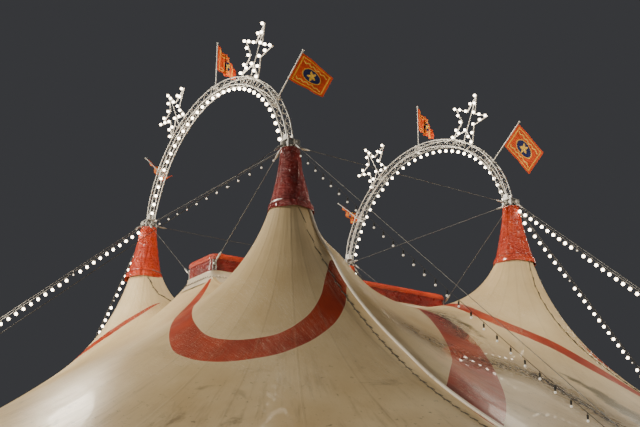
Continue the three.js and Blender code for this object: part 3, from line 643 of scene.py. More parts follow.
def cloth(name, grid, cut, inside, looped=False, fields=()):
    """A sheet over rows and columns of points; cut holds its own flat coordinates."""
    rows, columns = grid.shape[:2]
    strips = columns if looped else columns - 1
    row, column = np.meshgrid(np.arange(rows - 1), np.arange(strips), indexing="ij")
    row, column = row.ravel(), column.ravel()
    upper, lower, after = row * columns, (row + 1) * columns, (column + 1) % columns
    faces = np.stack([upper + column, upper + after, lower + after, lower + column], 1)
    mesh = bpy.data.meshes.new(name)
    mesh.from_pydata(grid.reshape(-1, 3).tolist(), [], faces.tolist())
    corners = [cut[row, column], cut[row, column + 1], cut[row + 1, column + 1], cut[row + 1, column]]
    layer = mesh.uv_layers.new(name="cut")
    layer.data.foreach_set("uv", np.stack(corners, 1).astype(np.float32).ravel())
    for field, values in dict(fields).items():
        attribute = mesh.attributes.new(field, "FLOAT", "POINT")
        attribute.data.foreach_set("value", values.astype(np.float32).ravel())
    mesh.update()
    outward = sum((face.center - Vector(inside)).dot(face.normal) * face.area for face in mesh.polygons)
    if outward < 0:
        mesh.flip_normals()
    piece = linked(name, mesh)
    alone(piece)
    bpy.ops.object.shade_smooth()
    return piece


def thickened(piece, thickness):
    """Gives a sheet its thickness on the inner side."""
    alone(piece)
    modifier = piece.modifiers.new("thickness", "SOLIDIFY")
    modifier.thickness = thickness
    modifier.offset = -1.0
    bpy.ops.object.modifier_apply(modifier=modifier.name)
    bpy.ops.object.shade_smooth_by_angle(angle=SHEET_EDGE)


def area_of(piece):
    """The area of a sheet's one surface, before it has its thickness."""
    return sum(face.area for face in piece.data.polygons)


def up(height):
    """A step straight up."""
    return Vector((0, 0, height))


# Camera, floor and light


def place_camera():
    """A viewer on the ground to the southeast, looking up past the near peak."""
    yaw, pitch, roll = (math.radians(angle) for angle in VIEW_ANGLES)
    forward = Vector((math.sin(yaw) * math.cos(pitch), math.cos(yaw) * math.cos(pitch), math.sin(pitch)))
    right = Vector((math.cos(yaw), -math.sin(yaw), 0.0))
    above = right.cross(forward)
    across = math.cos(roll) * right + math.sin(roll) * above
    upright = math.cos(roll) * above - math.sin(roll) * right
    data = bpy.data.cameras.new("viewer")
    data.sensor_width = SENSOR_WIDTH
    data.lens = LENS
    data.clip_end = FARTHEST_SEEN
    camera = linked("viewer", data)
    turn = Matrix((across, upright, -forward)).transposed().to_4x4()
    camera.matrix_world = Matrix.Translation(EYE) @ turn
    bpy.context.scene.camera = camera


def light_studio():
    """A dim room, three broad soft lights, and soft pools where the lamp strings hang."""
    world = bpy.data.worlds.new("studio")
    bpy.context.scene.world = world
    world.use_nodes = True
    sky = world.node_tree.nodes["Background"]
    sky.inputs["Color"].default_value = rgb(0.045, 0.046, 0.05)
    sky.inputs["Strength"].default_value = 1.0
    for name, (toward, strength, softness, gloss) in BROAD_LIGHTS.items():
        data = bpy.data.lights.new(name, "SUN")
        data.energy = strength
        data.angle = math.radians(softness)
        data.color = BROAD_COLOUR
        lamp = linked(name, data)
        lamp.rotation_euler = Vector(toward).to_track_quat("Z", "Y").to_euler()
        lamp.visible_glossy = gloss
    for name, (at, power, gloss) in POOL_LIGHTS.items():
        data = bpy.data.lights.new(name, "POINT")
        data.energy = power
        data.shadow_soft_size = POOL_SIZE
        data.color = POOL_COLOUR
        lamp = linked(name, data)
        lamp.location = at
        lamp.visible_glossy = gloss


def lay_floor():
    """A wide plain floor, just under the tent's ground plane."""
    alone()
    bpy.ops.mesh.primitive_plane_add(size=400.0, location=(0, 0, -0.002))
    floor = coated(added("floor"), floor_paint())


# Sails


def smooth_step(value, low, high):
    """0 at low, 1 at high, eased between them."""
    share = np.clip((value - low) / (high - low), 0, 1)
    return share * share * (3 - 2 * share)


def ridge_lift(x, y):
    """The fold that each laced seam raises beyond its mast, a little towards the middle."""
    beyond, aside = np.abs(x) - MAST_X, MAST_Y - np.abs(y)
    along = smooth_step(beyond, *RIDGE_STARTS) * (1 - smooth_step(beyond, *RIDGE_ENDS))
    free = smooth_step(np.hypot(beyond, aside), *RIDGE_CLEARS_PEAK)
    return RIDGE_LIFT * along * free * np.exp(-((aside - RIDGE_OFFSET) / RIDGE_SPREAD) ** 2)


def sail_height(x, y):
    """The height of the stretched sail, as its four peaks, eave, ridges and neck shape it."""
    height = np.full_like(x, EAVE_HEIGHT)
    for sx, sy in QUARTERS.values():
        mx, my = sx * MAST_X, sy * MAST_Y
        reach = math.hypot(mx, my)
        image = (TENT_RADIUS / reach) ** 2
        near = np.maximum(np.hypot(x - mx, y - my), PEAK_RADIUS * 0.95)
        far = np.hypot(x - image * mx, y - image * my)
        height += SAIL_PULL * np.log((reach / TENT_RADIUS) * (far / near))
        outward = ((x - mx) * sx + (y - my) * sy) * math.sqrt(0.5)
        height += PEAK_LEAN * outward * (PEAK_RADIUS / near) ** 2
    height += ridge_lift(x, y)
    out_x = np.maximum(np.abs(x) - NECK_X, 0)
    out_y = np.maximum(np.abs(y) - NECK_Y, 0)
    return height + (NECK_HEIGHT - height) * np.exp(-np.hypot(out_x, out_y) / NECK_RUN)


# Middle lines and half widths of the red bands, from the mast, on a sail turned to the southeast.
PETAL = [
    (-3.75, -0.2, 0.04), (-3.4, -0.72, 0.1), (-2.9, -1.36, 0.19), (-2.2, -1.92, 0.25),
    (-0.64, -2.83, 0.28), (0.49, -3.23, 0.345), (1.22, -3.26, 0.36), (1.88, -3.08, 0.38),
    (2.4, -2.68, 0.37), (2.72, -2.15, 0.34), (2.79, -1.6, 0.31), (2.7, -1.05, 0.3),
    (2.53, -0.6, 0.3), (2.25, -0.15, 0.3), (1.95, 0.15, 0.28), (1.6, 0.5, 0.24),
]
SMALL_PETAL = [
    (-1.3, 0.02, 0.01), (-1.4, -0.75, 0.09), (-1.3, -1.25, 0.15), (-1.1, -1.7, 0.21), (-0.7, -2.1, 0.26),
    (0.0, -2.3, 0.29), (0.9, -2.2, 0.3), (1.7, -1.6, 0.3), (2.1, -0.8, 0.3), (2.2, 0.2, 0.25),
]
LENS_BAND = [
    (0.2, 4.3, 0.05), (1.4, 3.95, 0.33), (2.55, 3.5, 0.48), (3.9, 2.75, 0.5),
    (4.75, 2.15, 0.52), (5.6, 1.4, 0.58), (6.4, 0.55, 0.63), (7.0, -0.2, 0.65),
]
STRIPE = [
    (-2.2, 2.0, 0.12), (-1.2, 2.3, 0.15), (-0.3, 2.5, 0.18), (0.9, 2.65, 0.23), (1.85, 2.38, 0.26),
    (2.85, 1.65, 0.25), (3.6, 1.3, 0.26), (4.6, 0.9, 0.28), (5.8, 0.5, 0.3), (7.4, -0.4, 0.3),
    (8.6, -1.6, 0.15),
]
# Mould and moss in the east valley, as middle lines and half widths on the ground plan.
DIRT = {
    "mould": [
        [
            (7.9, -2.9, 0.12), (8.5, -2.1, 0.16), (8.8, -1.4, 0.2), (9.2, -0.6, 0.28),
            (9.7, -0.25, 0.3), (10.8, -0.3, 0.26), (12.0, -0.6, 0.2),
        ],
        [(5.3, 0.35, 0.14), (6.1, -0.1, 0.2), (7.0, -0.5, 0.2), (7.6, -0.7, 0.12)],
    ],
    "moss": [
        [(9.0, 1.1, 0.1), (9.5, 1.35, 0.3), (10.3, 1.2, 0.36), (11.8, 0.75, 0.4), (13.0, 0.4, 0.4)],
        [(5.7, 0.45, 0.1), (6.5, 0.35, 0.16), (7.2, 0.1, 0.1)],
    ],
}
# How far the lacing and the fold beside it lie towards the middle, by the way out from the mast.
LACING = [(0.57, -0.05), (0.95, 0.12), (1.6, 0.23), (3.0, 0.22), (4.5, 0.1), (6.0, 0.0), (9.4, -0.08)]
FOLD = [(0.47, 0.33), (1.2, 0.47), (2.0, 0.44), (3.25, 0.39), (4.45, 0.31), (5.9, 0.18), (9.4, 0.06)]
INNER_LACING = [(-0.57, -0.19), (-0.8, -0.07), (-1.0, 0.06), (-1.15, 0.34), (-1.6, 0.8), (-3.4, 1.6)]


def smooth_line(points, steps):
    """A smooth line through given points, with so many steps between each two."""
    points = np.array(points, float)
    padded = np.vstack([2 * points[0] - points[1], points, 2 * points[-1] - points[-2]])
    line = []
    for index in range(1, len(padded) - 2):
        before, start, end, after = padded[index - 1:index + 3]
        for t in np.arange(steps) / steps:
            line.append(0.5 * (
                2 * start + (end - before) * t + (2 * before - 5 * start + 4 * end - after) * t ** 2
                + (3 * start - before - 3 * end + after) * t ** 3
            ))
    line.append(points[-1])
    return np.array(line)


def band_edge(x, y, line):
    """How far a point lies inside a band; negative outside it."""
    line = smooth_line(line, 10)
    best = np.full(x.shape, -9.0)
    for start, end in zip(line[:-1], line[1:]):
        run = end[:2] - start[:2]
        share = np.clip(((x - start[0]) * run[0] + (y - start[1]) * run[1]) / (run @ run), 0, 1)
        away = np.hypot(x - start[0] - share * run[0], y - start[1] - share * run[1])
        best = np.maximum(best, start[2] + share * (end[2] - start[2]) - away)
    return best


def strip_angles():
    """Directions of the sail's strips round its mast, with one at each corner of the quarter."""
    neck_corner = math.atan2(MAST_Y - NECK_Y, NECK_X - MAST_X) + math.tau
    corners = [
        math.atan2(MAST_Y, TENT_RADIUS - MAST_X),
        math.atan2(MAST_Y, NECK_X - MAST_X),
        neck_corner,
        neck_corner + 0.008,
        math.atan2(MAST_Y - TENT_RADIUS, -MAST_X) + math.tau,
        math.atan2(MAST_Y, TENT_RADIUS - MAST_X) + math.tau,
    ]
    angles = []
    for start, end, count in zip(corners, corners[1:], SAIL_STRIPS):
        angles += [start + (end - start) * step / count for step in range(count)]
    return np.array(angles + [corners[-1]])


def sail_reach(angle):
    """How far a strip runs from its mast to the eave, the neck or the edge of its quarter."""
    ux, uy = math.cos(angle), math.sin(angle)
    along = MAST_X * ux - MAST_Y * uy
    reach = -along + math.sqrt(along ** 2 - MAST_X ** 2 - MAST_Y ** 2 + TENT_RADIUS ** 2)
    if ux < -1e-9:
        reach = min(reach, MAST_X / -ux)
        at_neck = (MAST_X - NECK_X) / -ux
        if -NECK_Y - 1e-6 <= -MAST_Y + at_neck * uy <= 0:
            reach = min(reach, at_neck)
    if uy > 1e-9:
        reach = min(reach, MAST_Y / uy)
    return reach


def panel_drape(x, y, radius, turn, free):
    """Each panel sags a little between its sewn edges, and the peak is gathered under its cap."""
    sag = -PANEL_SAG * np.sin(np.pi * turn) ** 2 * free
    pucker = np.cos(turn * math.tau / PANELS * PEAK_GATHERS)
    gathers = -0.005 * pucker * np.exp(-((radius - 0.75) / 0.5) ** 2)
    swell = 0.02 * np.sin(x * 1.3 + 0.7 * y) * np.sin(0.9 * y - 0.4 * x + 1.0) * free
    return sag + gathers + swell


def hang_sails():
    """The four quarters of the sail, each a fan of strips round its mast, with its bands and dirt."""
    angles = strip_angles()
    reaches = np.array([sail_reach(angle) for angle in angles])
    shares = np.linspace(0, 1, SAIL_RINGS)[:, None] ** RING_CROWDING
    radius = PEAK_RADIUS + shares * (reaches - PEAK_RADIUS)[None, :]
    own_x, own_y = radius * np.cos(angles), radius * np.sin(angles)
    x, y = MAST_X + own_x, -MAST_Y + own_y
    turn = angles[None, :] * PANELS / math.tau
    cut = np.stack([np.broadcast_to(turn, radius.shape), radius], 2)
    free = np.clip((radius - 0.7) / 2.5, 0, 1) * np.clip((reaches[None, :] - radius) / 1.5, 0, 1)
    drape = panel_drape(x, y, radius, turn, free)
    fold = own_y - np.interp(own_x, *np.array(FOLD).T)
    laced = own_y - np.interp(own_x, *np.array(LACING).T)
    # On the folded sails a crest rises beside the lacing, which lies in a dip.
    crest = 0.06 * np.exp(-(fold / 0.14) ** 2) - 0.05 * np.exp(-((laced + 0.02) / 0.16) ** 2)
    crest = crest * smooth_step(own_x, 0.3, 1.0) * free
    at_eave = (shares >= 1) & (np.hypot(x, y) > TENT_RADIUS - 0.01)
    # The seam that parts the bands swings to the middle on its way to the neck.
    inner = np.clip(-own_x * 0.6 - 0.2, 0, 1.6) * (own_x < -0.4)
    for name, (sx, sy) in QUARTERS.items():
        folded = name in FOLDED
        z = sail_height(x, y) + drape + (crest if folded else -EASED * ridge_lift(x, y))
        z = np.where(at_eave, EAVE_HEIGHT, z)
        middle = band_edge(own_x, own_y, LENS_BAND if name == "southeast" else STRIPE)
        petal = band_edge(own_x, own_y, SMALL_PETAL if name == "southwest" else PETAL)
        split = np.where(own_x > 0, fold if folded else own_y + 0.35, own_y - inner)
        grid = np.stack([x * sx, y * -sy, z], 2)
        middle = np.minimum(middle, split) if folded else middle
        fields = {"band": np.maximum(middle, np.minimum(petal, -split))}
        for field, lines in DIRT.items():
            edges = [band_edge(grid[:, :, 0], grid[:, :, 1], line) for line in lines]
            fields[field] = np.clip(np.maximum.reduce(edges), -1.2, 1.0)
        sail = cloth(f"big_top_sail_{name}", grid, cut, (0, 0, 0), fields=fields)
        thickened(sail, SAIL_THICKNESS)
        finished(sail, SAIL_CLOTH, [f"sail_{name}"])


def sail_path(name, table, steps, lift=0.0, aside=0.0):
    """Points along a line of a quarter's sail, lifted off it and moved towards the middle."""
    sx, sy = QUARTERS[name]
    table = smooth_line([(*row, 0.0) for row in table], 8)
    run = np.concatenate([[0], np.cumsum(np.hypot(np.diff(table[:, 0]), np.diff(table[:, 1])))])
    at = np.linspace(0, run[-1], steps)
    own_x, own_y = np.interp(at, run, table[:, 0]), np.interp(at, run, table[:, 1]) + aside
    x, y = sx * (MAST_X + own_x), sy * (MAST_Y - own_y)
    eased = 0.0 if name in FOLDED else EASED * ridge_lift(x, y)
    return np.stack([x, y, sail_height(x, y) + lift - eased], 1)


def lace_seams():
    """The laced joints of each quarter: a padded fold, a thin gap and short ties across it."""
    for name in QUARTERS:
        folded = name in FOLDED
        if folded:
            fold = pipes(f"seam_fold_{name}", [sail_path(name, FOLD, 120, 0.085)], 0.04, 8)
            # The padded fold wears the paler cloth, a painted highlight.
            finished(fold, FOLD_CLOTH_PAINTED_HIGHLIGHT)
        gap, ties = [], []
        for table, count, drop in ((LACING, 34, 0.03 if folded else 0.0), (INNER_LACING, 14, 0.0)):
            steps = 3 * count
            gap.append(sail_path(name, table, steps, 0.008 - drop))
            near = sail_path(name, table, steps, 0.014 - drop, -TIE_REACH)
            far = sail_path(name, table, steps, 0.014 - drop, TIE_REACH)
            for foot in range(0, steps, 3):
                crown = (near[foot + 1] + far[foot + 1]) / 2 + (0, 0, 0.012)
                ties.append([near[foot], crown, far[foot + 2]])
        seam = coated(pipes(f"seam_gap_{name}", gap, 0.007, 6), BLACK_ROPE)
        laces = coated(pipes("ties", ties, THICK_LINE, 6), DULL_ROPE)
        finished(joined(f"seam_lacing_{name}", [seam, laces]), None)


# Peak covers


def turn_between(angle):
    """An angle brought within half a turn of nought."""
    return (angle + math.pi) % math.tau - math.pi


def cap_radius(depth):
    """A cover's radius by the depth below the head, wider from the hem band down."""
    spread = CAP_HEM_RADIUS - CAP_TOP_RADIUS - 0.02
    radius = CAP_TOP_RADIUS + spread * (depth / CAP_LENGTH) ** 1.5
    return np.where(depth > CAP_LENGTH - 0.17, radius + 0.022, radius)


def crumple(angle, depth, pick):
    """Creases of a stiff coated cover tied in tight: long ones down it, short ones low across it."""
    turn, fall = angle[None, :], depth[:, None]
    low = np.clip(fall / CAP_LENGTH, 0, 1)
    relief = np.zeros((depth.size, angle.size))
    for _ in range(LONG_CREASES):
        at, lean, wide = pick.uniform(0, math.tau), pick.uniform(-0.35, 0.35), pick.uniform(0.08, 0.22)
        start, end = sorted(pick.uniform(-0.2, 2.1, 2))
        away = np.abs(turn_between(turn - at - lean * fall))
        reach = np.clip((fall - start) * 4, 0, 1) * np.clip((end + 0.5 - fall) * 4, 0, 1)
        height = pick.uniform(0.008, 0.022) * np.clip(1 - away / wide, 0, 1) ** 1.4 * reach
        relief += height * pick.choice((1, -1, -1))
    for _ in range(CROSS_CREASES):
        at, level = pick.uniform(0, math.tau), pick.uniform(0.5, CAP_LENGTH - 0.25)
        wide, tilt, thick = pick.uniform(0.25, 0.8), pick.uniform(-0.35, 0.35), pick.uniform(0.03, 0.08)
        away = turn_between(turn - at)
        across = np.abs(fall - level - tilt * away)
        fade = np.clip(1 - np.abs(away) / wide, 0, 1)
        relief += pick.uniform(0.006, 0.016) * np.clip(1 - across / thick, 0, 1) ** 1.3 * fade * low
    return relief


def dress_caps():
    """Creased covers over the peaks, each tied in above a swelling hem band."""
    above_tie = np.linspace(0, CAP_LENGTH - 0.21, 58)
    depth = np.concatenate([above_tie, np.linspace(CAP_LENGTH - HEM_BAND, CAP_LENGTH + 0.03, 16)])
    angle = np.linspace(0, math.tau, 180, endpoint=False)
    turn, share = angle[None, :], (depth / CAP_LENGTH)[:, None]
    tied = np.exp(-((depth - CAP_LENGTH + HEM_BAND + 0.005) / 0.02) ** 2)[:, None]
    band = np.clip((depth - CAP_LENGTH + HEM_BAND) / HEM_BAND, 0, 1)[:, None]
    for index, (name, (sx, sy)) in enumerate(QUARTERS.items()):
        relief = crumple(angle, depth, np.random.default_rng(40 + index))
        if name == DEEP_CREASE_ON:
            away = np.abs(turn_between(turn - DEEP_CREASE_AT))
            ending = np.clip((CAP_LENGTH - 0.35 - depth[:, None]) * 5, 0, 1)
            relief -= 0.035 * np.clip(1 - away / 0.16, 0, 1) * ending
        radius = cap_radius(depth)[:, None] + np.clip(1.6 * relief, -0.07, 0.035)
        pleats = np.sin(turn * 23 + 2.5 * np.sin(turn * 2 + index))
        pleats = pleats * np.sin(math.pi * np.minimum(band * 1.2, 1))
        radius += 0.006 * pleats - 0.026 * tied + 0.014 * np.sin(math.pi * band)
        reach = CAP_REACH.get(name, 1.0)
        radius += (reach - 1) * 0.6 * share
        shift = np.array(CAP_LEAN.get(name, (0.0, 0.0))) * np.clip(share, 0, 1) ** 2
        x = sx * MAST_X + radius * np.cos(angle) + shift[:, :1]
        y = sy * MAST_Y + radius * np.sin(angle) + shift[:, 1:]
        z = HEAD_FOOT - 0.001 - reach * depth[:, None] - 0.012 * band * np.sin(turn * 5 + index)
        grid = np.stack([x, y, z], 2)
        around = np.linspace(0, 1, angle.size + 1) * math.pi
        cut = np.stack(np.broadcast_arrays(around[None, :], depth[:, None]), 2)
        inside = (sx * MAST_X, sy * MAST_Y, HEAD_FOOT - 1.0)
        cap = cloth(f"peak_cover_{name}", grid, cut, inside, looped=True)
        thickened(cap, COVER_THICKNESS)
        finished(cap, DARK_RED if name == "southeast" else ORANGE_RED, [f"cap_{name}"])
        tie = int(np.argmax(tied))
        cord = []
        for step in range(0, angle.size, 3):
            out = Vector((math.cos(angle[step]), math.sin(angle[step]), 0))
            cord.append(Vector(grid[tie, step]) + out * 0.004)
        finished(pipes(f"cover_cord_{name}", [cord], 0.007, 6, closed=True), DARK_RED)


# Masts and heads


def faces_of(corners):
    """Pairs of neighbouring corners, once round."""
    return list(zip(corners, corners[1:] + corners[:1]))


def brace_masts():
    """Zigzag bars on the four faces of each lattice mast, crosses in its head, lugs and pins round it."""
    inner = HEAD_HALF - 0.025
    for name, (sx, sy) in QUARTERS.items():
        x, y = sx * MAST_X, sy * MAST_Y
        zigzags, crosses = [], []
        for one, two in faces_of([(-1, -1), (1, -1), (1, 1), (-1, 1)]):
            zigzags.append([
                (x + MAST_HALF * (two, one)[step % 2][0], y + MAST_HALF * (two, one)[step % 2][1], z)
                for step, z in enumerate(BRACE_HEIGHTS)
            ])
            for a, b in ((one, two), (two, one)):
                foot = (x + inner * a[0], y + inner * a[1], HEAD_FOOT + 0.02)
                crosses.append([foot, (x + inner * b[0], y + inner * b[1], HEAD_TOP - 0.02)])
        finished(pipes(f"mast_braces_{name}", zigzags + crosses, 0.012, 6), ZINC)
        fittings = []
        for dx, dy in ((sx, 0), (0, sy), (-sx, 0), (0, -sy)):
            at_x, at_y = x + dx * (HEAD_HALF + 0.045), y + dy * (HEAD_HALF + 0.045)
            half_x, half_y = LUG_HALF if dx else LUG_HALF[::-1]
            for aside in (-0.03, 0.03):
                lug_x, lug_y = at_x + aside * abs(dy), at_y + aside * abs(dx)
                low = (lug_x - half_x, lug_y - half_y, BAND_HEIGHT - 0.06)
                high = (lug_x + half_x, lug_y + half_y, BAND_HEIGHT + 0.06)
                fittings.append(block("lug", low, high, 0.003))
            pin = [
                (at_x + dx * 0.02 + end * abs(dy), at_y + dy * 0.02 + end * abs(dx), BAND_HEIGHT)
                for end in (-0.05, 0.05)
            ]
            fittings.append(pipes("pin", [pin], 0.014, 8))
        finished(joined(f"head_lugs_{name}", fittings), WHITE_STEEL)


# Arches


def arch_turn(bay):
    """The arch's own angle at a bay, from its east foot."""
    return ARCH_FIRST + (math.pi - 2 * ARCH_FIRST) * bay / ARCH_BAYS


def arch_normal(turn):
    """The way out of the arch, square to its middle line."""
    return Vector((math.cos(turn) / ARCH_RUN, 0, math.sin(turn) / ARCH_RISE)).normalized()


def arch_point(turn, out, across, side):
    """A point near the arch's middle line, moved out and to the north of it."""
    normal = arch_normal(turn)
    rise = ARCH_RISE * (math.sin(turn) - math.sin(ARCH_FIRST))
    height = HEAD_TOP + ARCH_SPRING + rise + normal.z * out
    return Vector((ARCH_RUN * math.cos(turn) + normal.x * out, side * MAST_Y + across, height))


def arch_half_width(bay):
    """Half the truss, which narrows over its end bays."""
    ends = min(bay, ARCH_BAYS - bay) / (ARCH_BAYS / 16)
    return (ARCH_FOOT_WIDTH + (ARCH_WIDTH - ARCH_FOOT_WIDTH) * min(ends, 1)) / 2


def truss_corner(bay, corner, side):
    """The middle of a chord at a bay; corner tells the chord, outward and across."""
    half = arch_half_width(bay)
    return arch_point(arch_turn(bay), corner[0] * half, corner[1] * half, side)


def truss_bars(name, side):
    """Chords, webs, rungs at the joints and the sleeves over them."""
    corners = [(1, -1), (1, 1), (-1, 1), (-1, -1)]
    bays = np.arange(0, ARCH_BAYS + 0.01, 0.5)
    runs = [[truss_corner(bay, corner, side) for bay in bays] for corner in corners]
    chords = pipes(f"truss_chords_{name}", runs, 0.019, 8)
    webs, rungs = [], []
    for one, two in faces_of(corners):
        webs.append([truss_corner(bay, one if bay % 2 else two, side) for bay in range(ARCH_BAYS + 1)])
        for joint in (0, *TRUSS_JOINTS, ARCH_BAYS):
            for shift in ((-0.3, 0.3) if 0 < joint < ARCH_BAYS else (0,)):
                rungs.append([truss_corner(joint + shift, corner, side) for corner in (one, two)])
    web = pipes(f"truss_web_{name}", webs + rungs, 0.008, 6)
    collars = []
    for joint in TRUSS_JOINTS:
        for corner in corners:
            for shift in (-0.26, 0.02):
                collars.append([truss_corner(joint + shift + along, corner, side) for along in (0, 0.24)])
    return [chords, web, pipes(f"truss_sleeves_{name}", collars, 0.036, 10)]


def poles_and_saddles(name, side):
    """The flag poles through the truss, the bars that hold them and the stars, and the poles' knobs."""
    half = ARCH_WIDTH / 2
    poles, saddles, knobs = [], [], []
    for angle in FLAG_ANGLES.values():
        turn = math.radians(angle)
        poles.append([arch_point(turn, out, 0, side) for out in (-half, half + FLAG_POLE_REACH)])
        for out in (-half, half):
            saddles.append([arch_point(turn, out, across, side) for across in (-half - 0.03, half + 0.03)])
    for angle in STAR_ANGLES.values():
        turn = math.radians(angle)
        saddles.append([arch_point(turn, half, across, side) for across in (-half - 0.03, half + 0.03)])
    masts = pipes(f"flag_poles_{name}", poles, 0.019, 10)
    cross = pipes(f"arch_saddles_{name}", saddles, 0.03, 8)
    for angle in FLAG_ANGLES.values():
        turn = math.radians(angle)
        top = arch_point(turn, half + FLAG_POLE_REACH - 0.03, 0, side)
        knobs.append(turned("knob", KNOB_PROFILE, top, 16, arch_normal(turn)))
    return [masts, cross, *knobs]


def arch_feet(side):
    """The plate and two gussets under each end of an arch."""
    feet = []
    y = side * MAST_Y
    for end in (-1, 1):
        x = end * ARCH_HALF_SPAN
        low = (x - FOOT_HALF, y - FOOT_HALF, HEAD_TOP + 0.001)
        feet.append(block("foot", low, (x + FOOT_HALF, y + FOOT_HALF, HEAD_TOP + 0.03), 0.006))
        for across in (-1, 1):
            plate = y + across * 0.1
            low = (x - 0.1, plate - 0.006, HEAD_TOP + 0.02)
            feet.append(block("gusset", low, (x + 0.1, plate + 0.006, HEAD_TOP + 0.22), 0.003))
    return feet


def build_arches():
    """Two square trusses of round tubes, each with its flag poles and its feet on two mast heads."""
    for name, side in SIDES.items():
        parts = truss_bars(name, side) + poles_and_saddles(name, side) + arch_feet(side)
        finished(joined(f"arch_truss_{name}", parts), TRUSS, [f"arch_{name}"])


# Lamps


def lamp_pattern(name, radius, glass, stem=0.06):
    """A globe lamp in its holder: the holder's foot at the origin, the globe out along +Z."""
    alone()
    at = (0, 0, stem + radius * 0.86)
    bpy.ops.mesh.primitive_uv_sphere_add(segments=8, ring_count=6, radius=radius, location=at)
    globe = coated(added(name), glass)
    bpy.ops.object.transform_apply(location=True, rotation=True, scale=True)
    bpy.ops.object.shade_smooth()
    profile = [(0.0, 0.0), (0.021, 0.0), (0.021, stem * 0.55), (0.015, stem), (0.0, stem)]
    return joined(name, [globe, coated(turned("holder", profile, (0, 0, 0), 6), RUBBER)])


LAMP = lamp_pattern("lamp", 0.054, LIT_GLOBE)
STAR_LAMP = lamp_pattern("star_lamp", 0.05, LIT_GLOBE, 0.035)
SMALL_LAMP = lamp_pattern("small_lamp", 0.031, DIM_GLOBE, 0.07)
PEG_LAMP = lamp_pattern("peg_lamp", 0.028, DIM_GLOBE, 0.085)
PENDANT = lamp_pattern("pendant", 0.027, DIM_GLOBE, 0.045)


def light_arches():
    """Lamps inside each arch, hung off the inner chord of its outer face on a cable."""
    for name, side in SIDES.items():
        lamps, hangers = [], []
        across = (-0.8 if name == "south" else 0.8) * ARCH_WIDTH / 2
        for bay in np.linspace(1.0, ARCH_BAYS - 1.0, ARCH_LAMPS):
            turn = arch_turn(bay)
            out = -arch_half_width(bay) - 0.035
            lamps.append(aimed(arch_point(turn, out, across, side), -arch_normal(turn)))
            hangers.append([arch_point(turn, out + 0.03, across, side), arch_point(turn, out, across, side)])
        cable = [
            arch_point(arch_turn(bay), -arch_half_width(bay) - 0.034, across, side)
            for bay in np.linspace(0.6, ARCH_BAYS - 0.6, 130)
        ]
        finished(repeated(f"arch_lamps_{name}", LAMP, lamps), None)
        finished(pipes(f"arch_lamp_cable_{name}", [cable, *hangers], THICK_LINE, 6), RUBBER)


def star_corners(radius):
    """The ten corners of a five-pointed star that stands on two points."""
    notch = math.cos(math.radians(72)) / math.cos(math.radians(36))
    corners = []
    for corner in range(10):
        reach = radius * (notch if corner % 2 else 1.0)
        turn = math.radians(90 + 36 * corner)
        corners.append(Vector((reach * math.cos(turn), 0, reach * math.sin(turn))))
    return corners


def raise_stars():
    """Stars bent from one tube each, a row of lamps round their front and a strut up their back."""
    rise = STAR_RADIUS * math.cos(math.radians(36))
    half = ARCH_WIDTH / 2
    for name, side in SIDES.items():
        for end, angle in STAR_ANGLES.items():
            turn = math.radians(angle)
            normal = arch_normal(turn)
            base = arch_point(turn, half + 0.03 + STAR_FOOT, STAR_ACROSS[name], side)
            stand = Matrix.Translation(base) @ Matrix.Rotation(math.atan2(normal.x, normal.z), 4, "Y")
            front = [stand @ (corner + up(rise - 0.05)) for corner in star_corners(STAR_RADIUS + 0.02)]
            rails = pipes("rails", [front], 0.024, 8, closed=True)
            back = [[stand @ Vector((0.05, 0.0, -STAR_FOOT)), stand @ up(rise + STAR_RADIUS - 0.1)]]
            for x in (-0.5, 0.5):
                back.append([stand @ Vector((x, 0, 0.04)), stand @ Vector((x * 0.94, 0, -STAR_FOOT - 0.05))])
            struts = pipes("struts", back, 0.016, 6)
            shoe = pipes("shoe", [[stand @ Vector((0, y, -STAR_FOOT)) for y in (-half, half)]], 0.02, 8)
            star = joined(f"tube_star_{name}_{end}", [rails, struts, shoe])
            finished(star, WHITE_STEEL, [f"star_{name}{end}"])
            facing = stand.to_3x3() @ Vector((0, -1, 0))
            lamps = []
            for one, two in faces_of(front):
                for share in (0.04, 0.54):
                    lamps.append(aimed(one.lerp(two, share) + facing * 0.005, facing))
            finished(repeated(f"star_lamps_{name}_{end}", STAR_LAMP, lamps), None)


# Flags


def limp_shift(run, down, angle, hem):
    """A flag without wind doubles back on itself in soft folds."""
    out = float(np.interp(run, [0, 0.5, 0.8, FLAG_FLY], [0, 0.46, 0.3, 0.7]))
    folds = 0.05 * math.sin(run * 8.5 + angle) + 0.055 * math.sin(run * 24 + down * 2.2)
    drop = (0.1 + 0.55 * (1 - down)) * FLAG_HOIST * (out / 0.7) ** 1.2
    return LIMP_WIND * (FLAG_GAP + out) + hem * folds * min(1, run * 5) - up(drop)


def flown_shift(run, down, angle, hem, lift):
    """A flag in the wind runs out in waves; lift, where it has one, carries its lower edge up."""
    along = run / FLAG_FLY
    wave = 0.05 * math.sin(along * 7.5 - down * 1.6 + angle) * along ** 0.7
    wave += 0.022 * math.sin(along * 15.0 + down * 3.0) * along
    wind = FLAG_WIND + up(0.6 * lift.length)
    raised = lift * along ** 1.5 * (down * 0.75 - 0.12) * FLAG_HOIST * 0.9
    return wind * (FLAG_GAP + run) + hem * wave - up(0.05 * along ** 2) + raised


